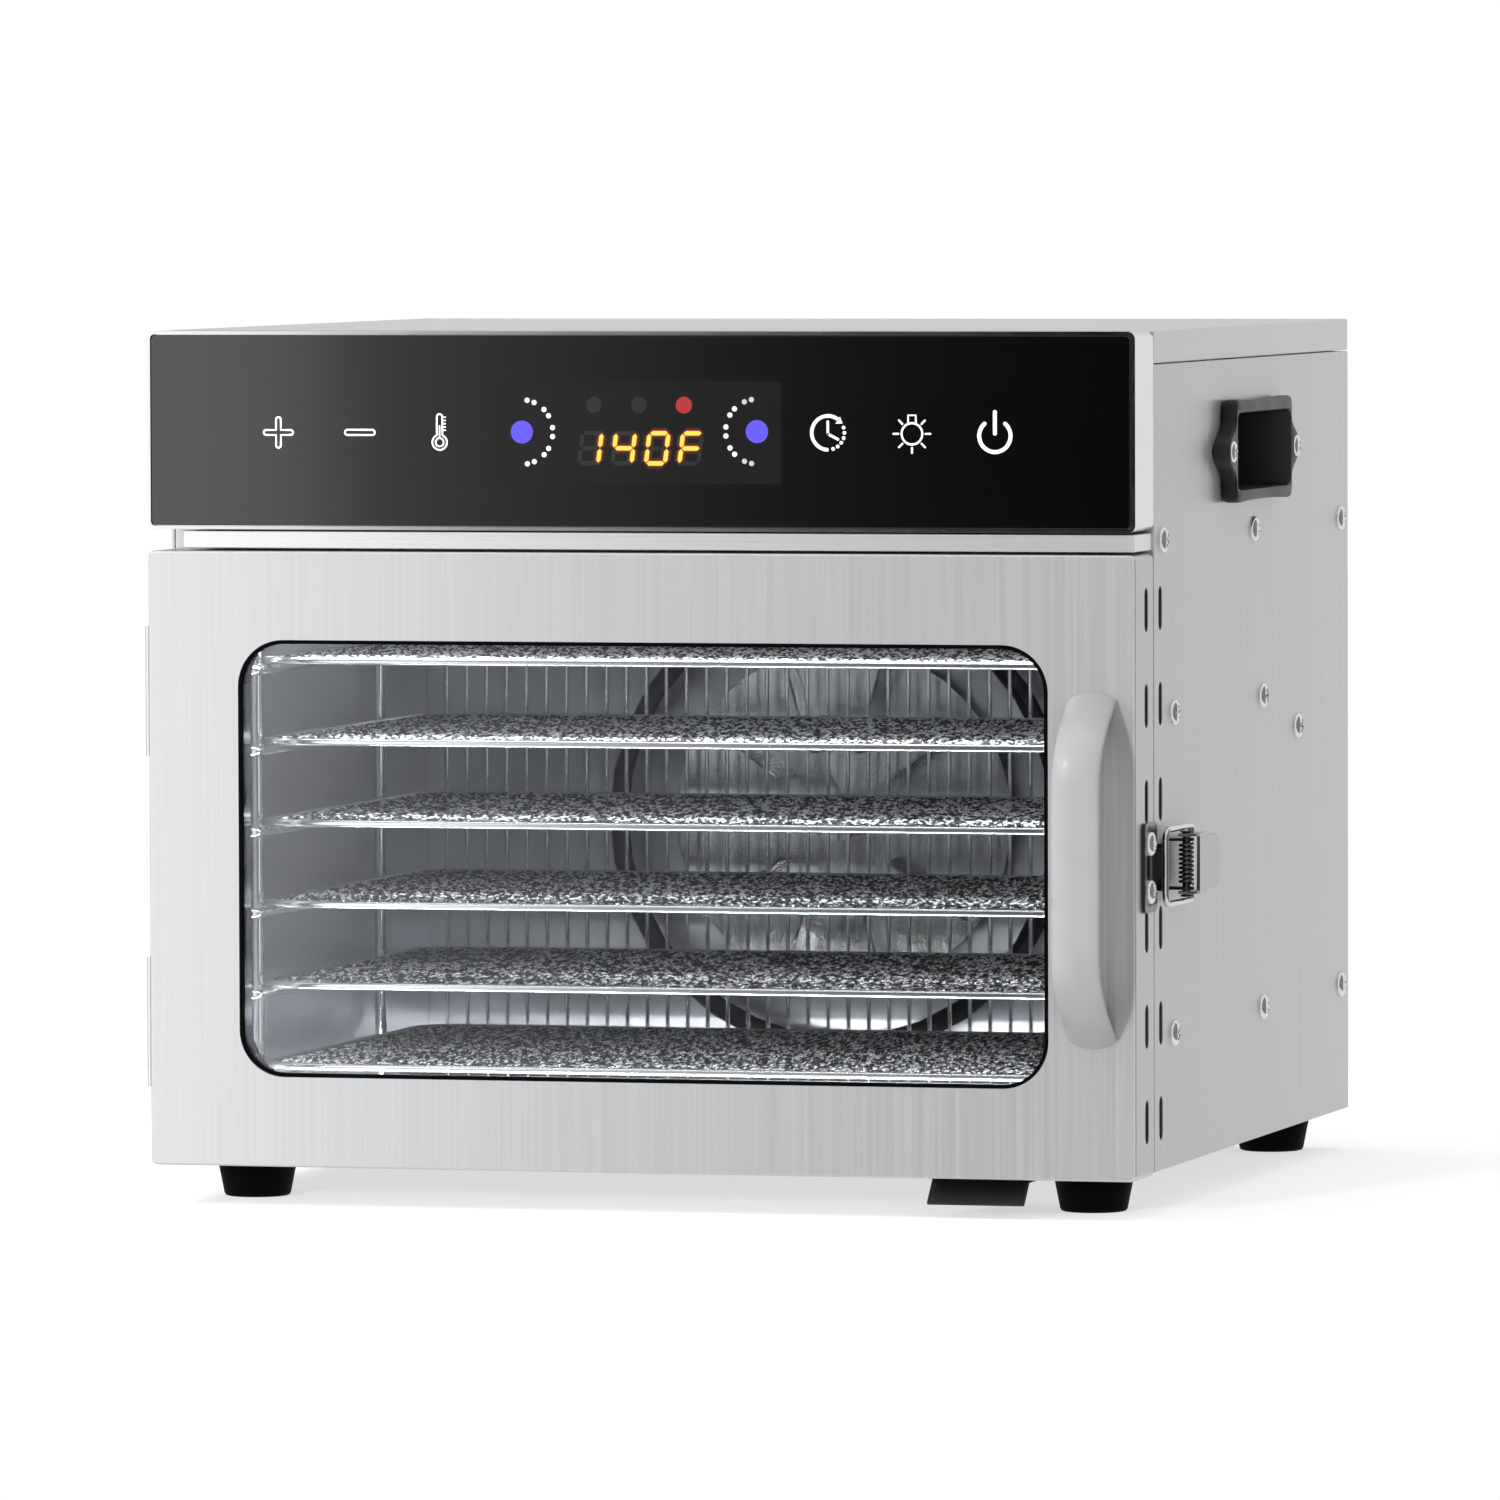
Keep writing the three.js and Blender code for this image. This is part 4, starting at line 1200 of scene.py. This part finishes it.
DIGIT_PITCH = 13.2
LAST_DIGIT = 21.65
DIGIT_Z = 291.55
LEAN = 0.13  # slant of the digits
SEGMENTS = {
    "1": "bc",
    "4": "bcfg",
    "0": "abcdef",
    "F": "aefg",
    "8": "abcdefg",
}


def add_segment(bm, digit_x, part, grow=0.0, stand=PRINT * 2):
    half_w, half_h, thick = 3.75, 5.75, 1.65 + 2 * grow
    bars = {
        "a": (0, half_h, "h"), "g": (0, 0, "h"), "d": (0, -half_h, "h"),
        "f": (-half_w, half_h / 2, "v"), "b": (half_w, half_h / 2, "v"),
        "e": (-half_w, -half_h / 2, "v"), "c": (half_w, -half_h / 2, "v"),
    }
    cx, cz, way = bars[part]
    length = (half_w if way == "h" else half_h / 2) - 0.3 + grow
    t = thick / 2
    inner = length - t
    bar = [(-length, 0), (-inner, -t), (inner, -t), (length, 0), (inner, t), (-inner, t)]
    if way == "v":
        bar = [(-v, u) for u, v in bar]
    outline = []
    for u, v in bar:
        x, z = cx + u, cz + v
        outline.append((digit_x + x + LEAN * z, DIGIT_Z + z))
    add_flat(bm, outline, glass_y, stand)


def draw_digits(text, first_x, grow=0.0, stand=PRINT * 2):
    def draw(bm):
        for k, letter in enumerate(text):
            for i, part in enumerate(SEGMENTS.get(letter, "")):
                add_segment(bm, first_x + k * DIGIT_PITCH, part, grow, stand + 0.002 * i)

    return draw


first_digit = LAST_DIGIT - 3 * DIGIT_PITCH
symbol("unlit_digits", draw_digits("8888", first_digit, 0.0, 0.035), "ghost_lens")
# The haze and the halo are painted glow: wider, dimmer segments for the digits' light spreading round them.
symbol("digits_haze", draw_digits("140F", first_digit, 1.3, 0.05), "digit_haze")
symbol("digits_halo", draw_digits("140F", first_digit, 0.45, 0.075), "digit_halo")
symbol("digits", draw_digits("140F", first_digit, 0.0, 0.1), "digit_glow")


def draw_discs(places, r):
    def draw(bm):
        for x, z in places:
            add_flat(bm, circle(x, z, r), glass_y, PRINT * 2)

    return draw


symbol("unlit_lamps", draw_discs([(-16.5, 308), (1.3, 308)], 3.1), "ghost_lens")
symbol("heating_lamp", draw_discs([(19, 308)], 3.2), "red_glow")
symbol("dial_centres", draw_discs([(-45.1, 297.6), (47.7, 298.0)], 4.4), "blue_glow")

ARC_ANGLES = (8, 30.5, 44.4, 66.5, 80)
ARC_RADIUS = 12.3


def arc_dots(x, z, facing, angles):
    places = []
    for angle in angles:
        for sign in (-1, 1):
            a = radians(angle * sign)
            places.append((x + facing * ARC_RADIUS * cos(a), z + ARC_RADIUS * sin(a)))
    return places


bright = arc_dots(-45.1, 297.6, 1, ARC_ANGLES) + arc_dots(47.7, 298.0, -1, ARC_ANGLES[:3])
symbol("bright_dots", draw_discs(bright, 1.0), "white_glow")
symbol("dim_dots", draw_discs(arc_dots(47.7, 298.0, -1, ARC_ANGLES[3:]), 1.0), "half_glow")

# ---------------------------------------------------------------- floor, light and camera


def stage_plane(name, size, place, turn, material):
    bpy.ops.mesh.primitive_plane_add(size=1, location=place, rotation=turn)
    obj = bpy.context.object
    obj.name = name
    obj.scale = (*size, 1)
    obj.data.materials.append(material)
    return obj


FLOOR_FADE = (0.38, 0.85)  # metres from the middle, from shadowed paper to plain white
WHITE = 1.02  # glow that shows as pure white


def floor_material():
    """White paper: it glows a little, so that shadows stay pale, and turns plain white far out."""
    tree = Tree("floor_white")
    tree.set(Base_Color=(0.4, 0.4, 0.405, 1), Roughness=0.9, Emission_Color=(1, 1, 1, 1))
    tree.set(Emission_Strength=0.58, Specular_IOR_Level=0.0)
    paper = tree.nodes.new("ShaderNodeEmission")
    paper.inputs["Strength"].default_value = WHITE
    reach = tree.nodes.new("ShaderNodeVectorMath")
    reach.operation = "LENGTH"
    spot = tree.nodes.new("ShaderNodeNewGeometry")
    tree.link(spot.outputs["Position"], reach.inputs[0])
    fade = tree.ranged(reach.outputs["Value"], 0, 1, *FLOOR_FADE)
    fade.node.interpolation_type = "SMOOTHSTEP"
    tree.finish_with(fade, tree.shader.outputs["BSDF"], paper.outputs["Emission"])
    return tree.material


floor = stage_plane("floor", (40, 40), (0, 0, 0), (0, 0, 0), floor_material())
floor.visible_glossy = False


def card(name, size, place, turn, stops):
    """A studio card seen only in reflections. Its glow follows stops: (share of width, glow)."""
    material = bpy.data.materials.new(name)
    material.use_nodes = True
    nodes, links = material.node_tree.nodes, material.node_tree.links
    nodes.clear()
    out = nodes.new("ShaderNodeOutputMaterial")
    glow = nodes.new("ShaderNodeEmission")
    place_node = nodes.new("ShaderNodeTexCoord")
    split = nodes.new("ShaderNodeSeparateXYZ")
    curve = nodes.new("ShaderNodeFloatCurve")
    points = curve.mapping.curves[0].points
    top = max(level for share, level in stops)
    points[0].location = (stops[0][0], stops[0][1] / top)
    points[1].location = (stops[-1][0], stops[-1][1] / top)
    for share, level in stops[1:-1]:
        points.new(share, level / top)
    curve.mapping.update()
    scale = nodes.new("ShaderNodeMath")
    scale.operation = "MULTIPLY"
    scale.inputs[1].default_value = top
    links.new(place_node.outputs["Generated"], split.inputs["Vector"])
    links.new(split.outputs["X"], curve.inputs["Value"])
    links.new(curve.outputs["Value"], scale.inputs[0])
    links.new(scale.outputs["Value"], glow.inputs["Strength"])
    links.new(glow.outputs["Emission"], out.inputs["Surface"])
    obj = stage_plane(name, size, place, turn, material)
    obj.visible_camera = False
    obj.visible_shadow = False
    obj.visible_diffuse = False
    return obj


# Two cards: a graded one in front, which the black glass mirrors, and a dim one at the right, which
# gives screws and latch their dark sides. Places along x are in metres.
FRONT_CARD_LEFT, FRONT_CARD_RIGHT = -1.15, 0.22
FRONT_CARD_GLOW = 0.56
width = FRONT_CARD_RIGHT - FRONT_CARD_LEFT
stops = [
    ((x - FRONT_CARD_LEFT) / width, level * FRONT_CARD_GLOW)
    for x, level in (
        (-1.15, 2.6), (-0.42, 2.5), (-0.317, 1.05), (-0.2, 0.42), (-0.086, 0.09), (0.006, 0.02),
        (0.22, 0.02),
    )
]
middle = (FRONT_CARD_LEFT + FRONT_CARD_RIGHT) / 2
card("front_card", (width, 1.6), at(middle * 1000, -750, 200), (radians(90), 0, 0), stops)


flag_stops = [(0, 0.15), (0.5, 0.17), (1, 0.15)]
card("dark_flag", (2.2, 1.3), at(1000, 100, 300), (radians(90), 0, radians(90)), flag_stops)


def area_light(name, place, target, size, power, glossy=True):
    data = bpy.data.lights.new(name, "AREA")
    data.shape = "RECTANGLE"
    data.size, data.size_y = size
    data.energy = power
    lamp = bpy.data.objects.new(name, data)
    lamp.location = place
    lamp.rotation_euler = (Vector(target) - Vector(place)).to_track_quat("-Z", "Y").to_euler()
    lamp.visible_camera = False
    lamp.visible_glossy = glossy
    bpy.context.scene.collection.objects.link(lamp)


area_light("front_key", (-0.42, -2.3, 0.42), (0, 0, 0.16), (0.22, 0.22), 54, glossy=False)
area_light("side_key", (-1.5, -0.5, 1.5), (0, 0, 0.1), (0.9, 0.9), 26, glossy=False)
area_light("top_soft", (-0.3, 0.1, 2.2), (0, 0, 0), (1.6, 1.6), 26, glossy=False)
area_light("sparkle", (-1.3, -1.5, 1.7), (0, 0, 0.2), (0.35, 0.35), 7)
area_light("cavity_top", at(0, 20, 242), at(0, 190, 20), (0.33, 0.04), 0.34)
area_light("cavity_low", at(0, 4, 34), at(0, 120, 120), (0.33, 0.012), 0.5)


def studio_world():
    """White to the camera; to everything else a soft grey that is brighter towards +X."""
    world = bpy.data.worlds.new("studio")
    bpy.context.scene.world = world
    world.use_nodes = True
    nodes, links = world.node_tree.nodes, world.node_tree.links
    direction = nodes.new("ShaderNodeTexCoord")
    split = nodes.new("ShaderNodeSeparateXYZ")
    ramp = nodes.new("ShaderNodeMapRange")
    ramp.interpolation_type = "SMOOTHSTEP"
    for name, value in (("From Min", -0.35), ("From Max", 0.4), ("To Min", 0.6), ("To Max", 0.97)):
        ramp.inputs[name].default_value = value
    ray = nodes.new("ShaderNodeLightPath")
    choice = nodes.new("ShaderNodeMix")
    choice.inputs["B"].default_value = WHITE
    links.new(direction.outputs["Generated"], split.inputs["Vector"])
    links.new(split.outputs["X"], ramp.inputs["Value"])
    links.new(ray.outputs["Is Camera Ray"], choice.inputs["Factor"])
    links.new(ramp.outputs["Result"], choice.inputs["A"])
    links.new(choice.outputs["Result"], nodes["Background"].inputs["Strength"])
    nodes["Background"].inputs["Color"].default_value = (1, 1, 1, 1)


def place_camera():
    """A long lens from the right front, as the photograph's edges ask for."""
    data = bpy.data.cameras.new("camera")
    data.lens = 305.64
    data.sensor_width = 36
    data.clip_end = 60
    camera = bpy.data.objects.new("camera", data)
    bpy.context.scene.collection.objects.link(camera)
    yaw, pitch, roll = 0.2639, 0.0465, -0.0032
    forward = Vector((-sin(yaw) * cos(pitch), cos(yaw) * cos(pitch), -sin(pitch)))
    place = at(1304.9, -4694.4, 401.9)
    turned = forward.to_track_quat("-Z", "Y").to_matrix().to_4x4() @ Matrix.Rotation(roll, 4, "Z")
    camera.matrix_world = Matrix.Translation(place) @ turned
    bpy.context.scene.camera = camera
    bpy.context.scene.view_settings.view_transform = "Standard"


studio_world()
place_camera()

# ---------------------------------------------------------------- last update

bpy.context.view_layer.update()
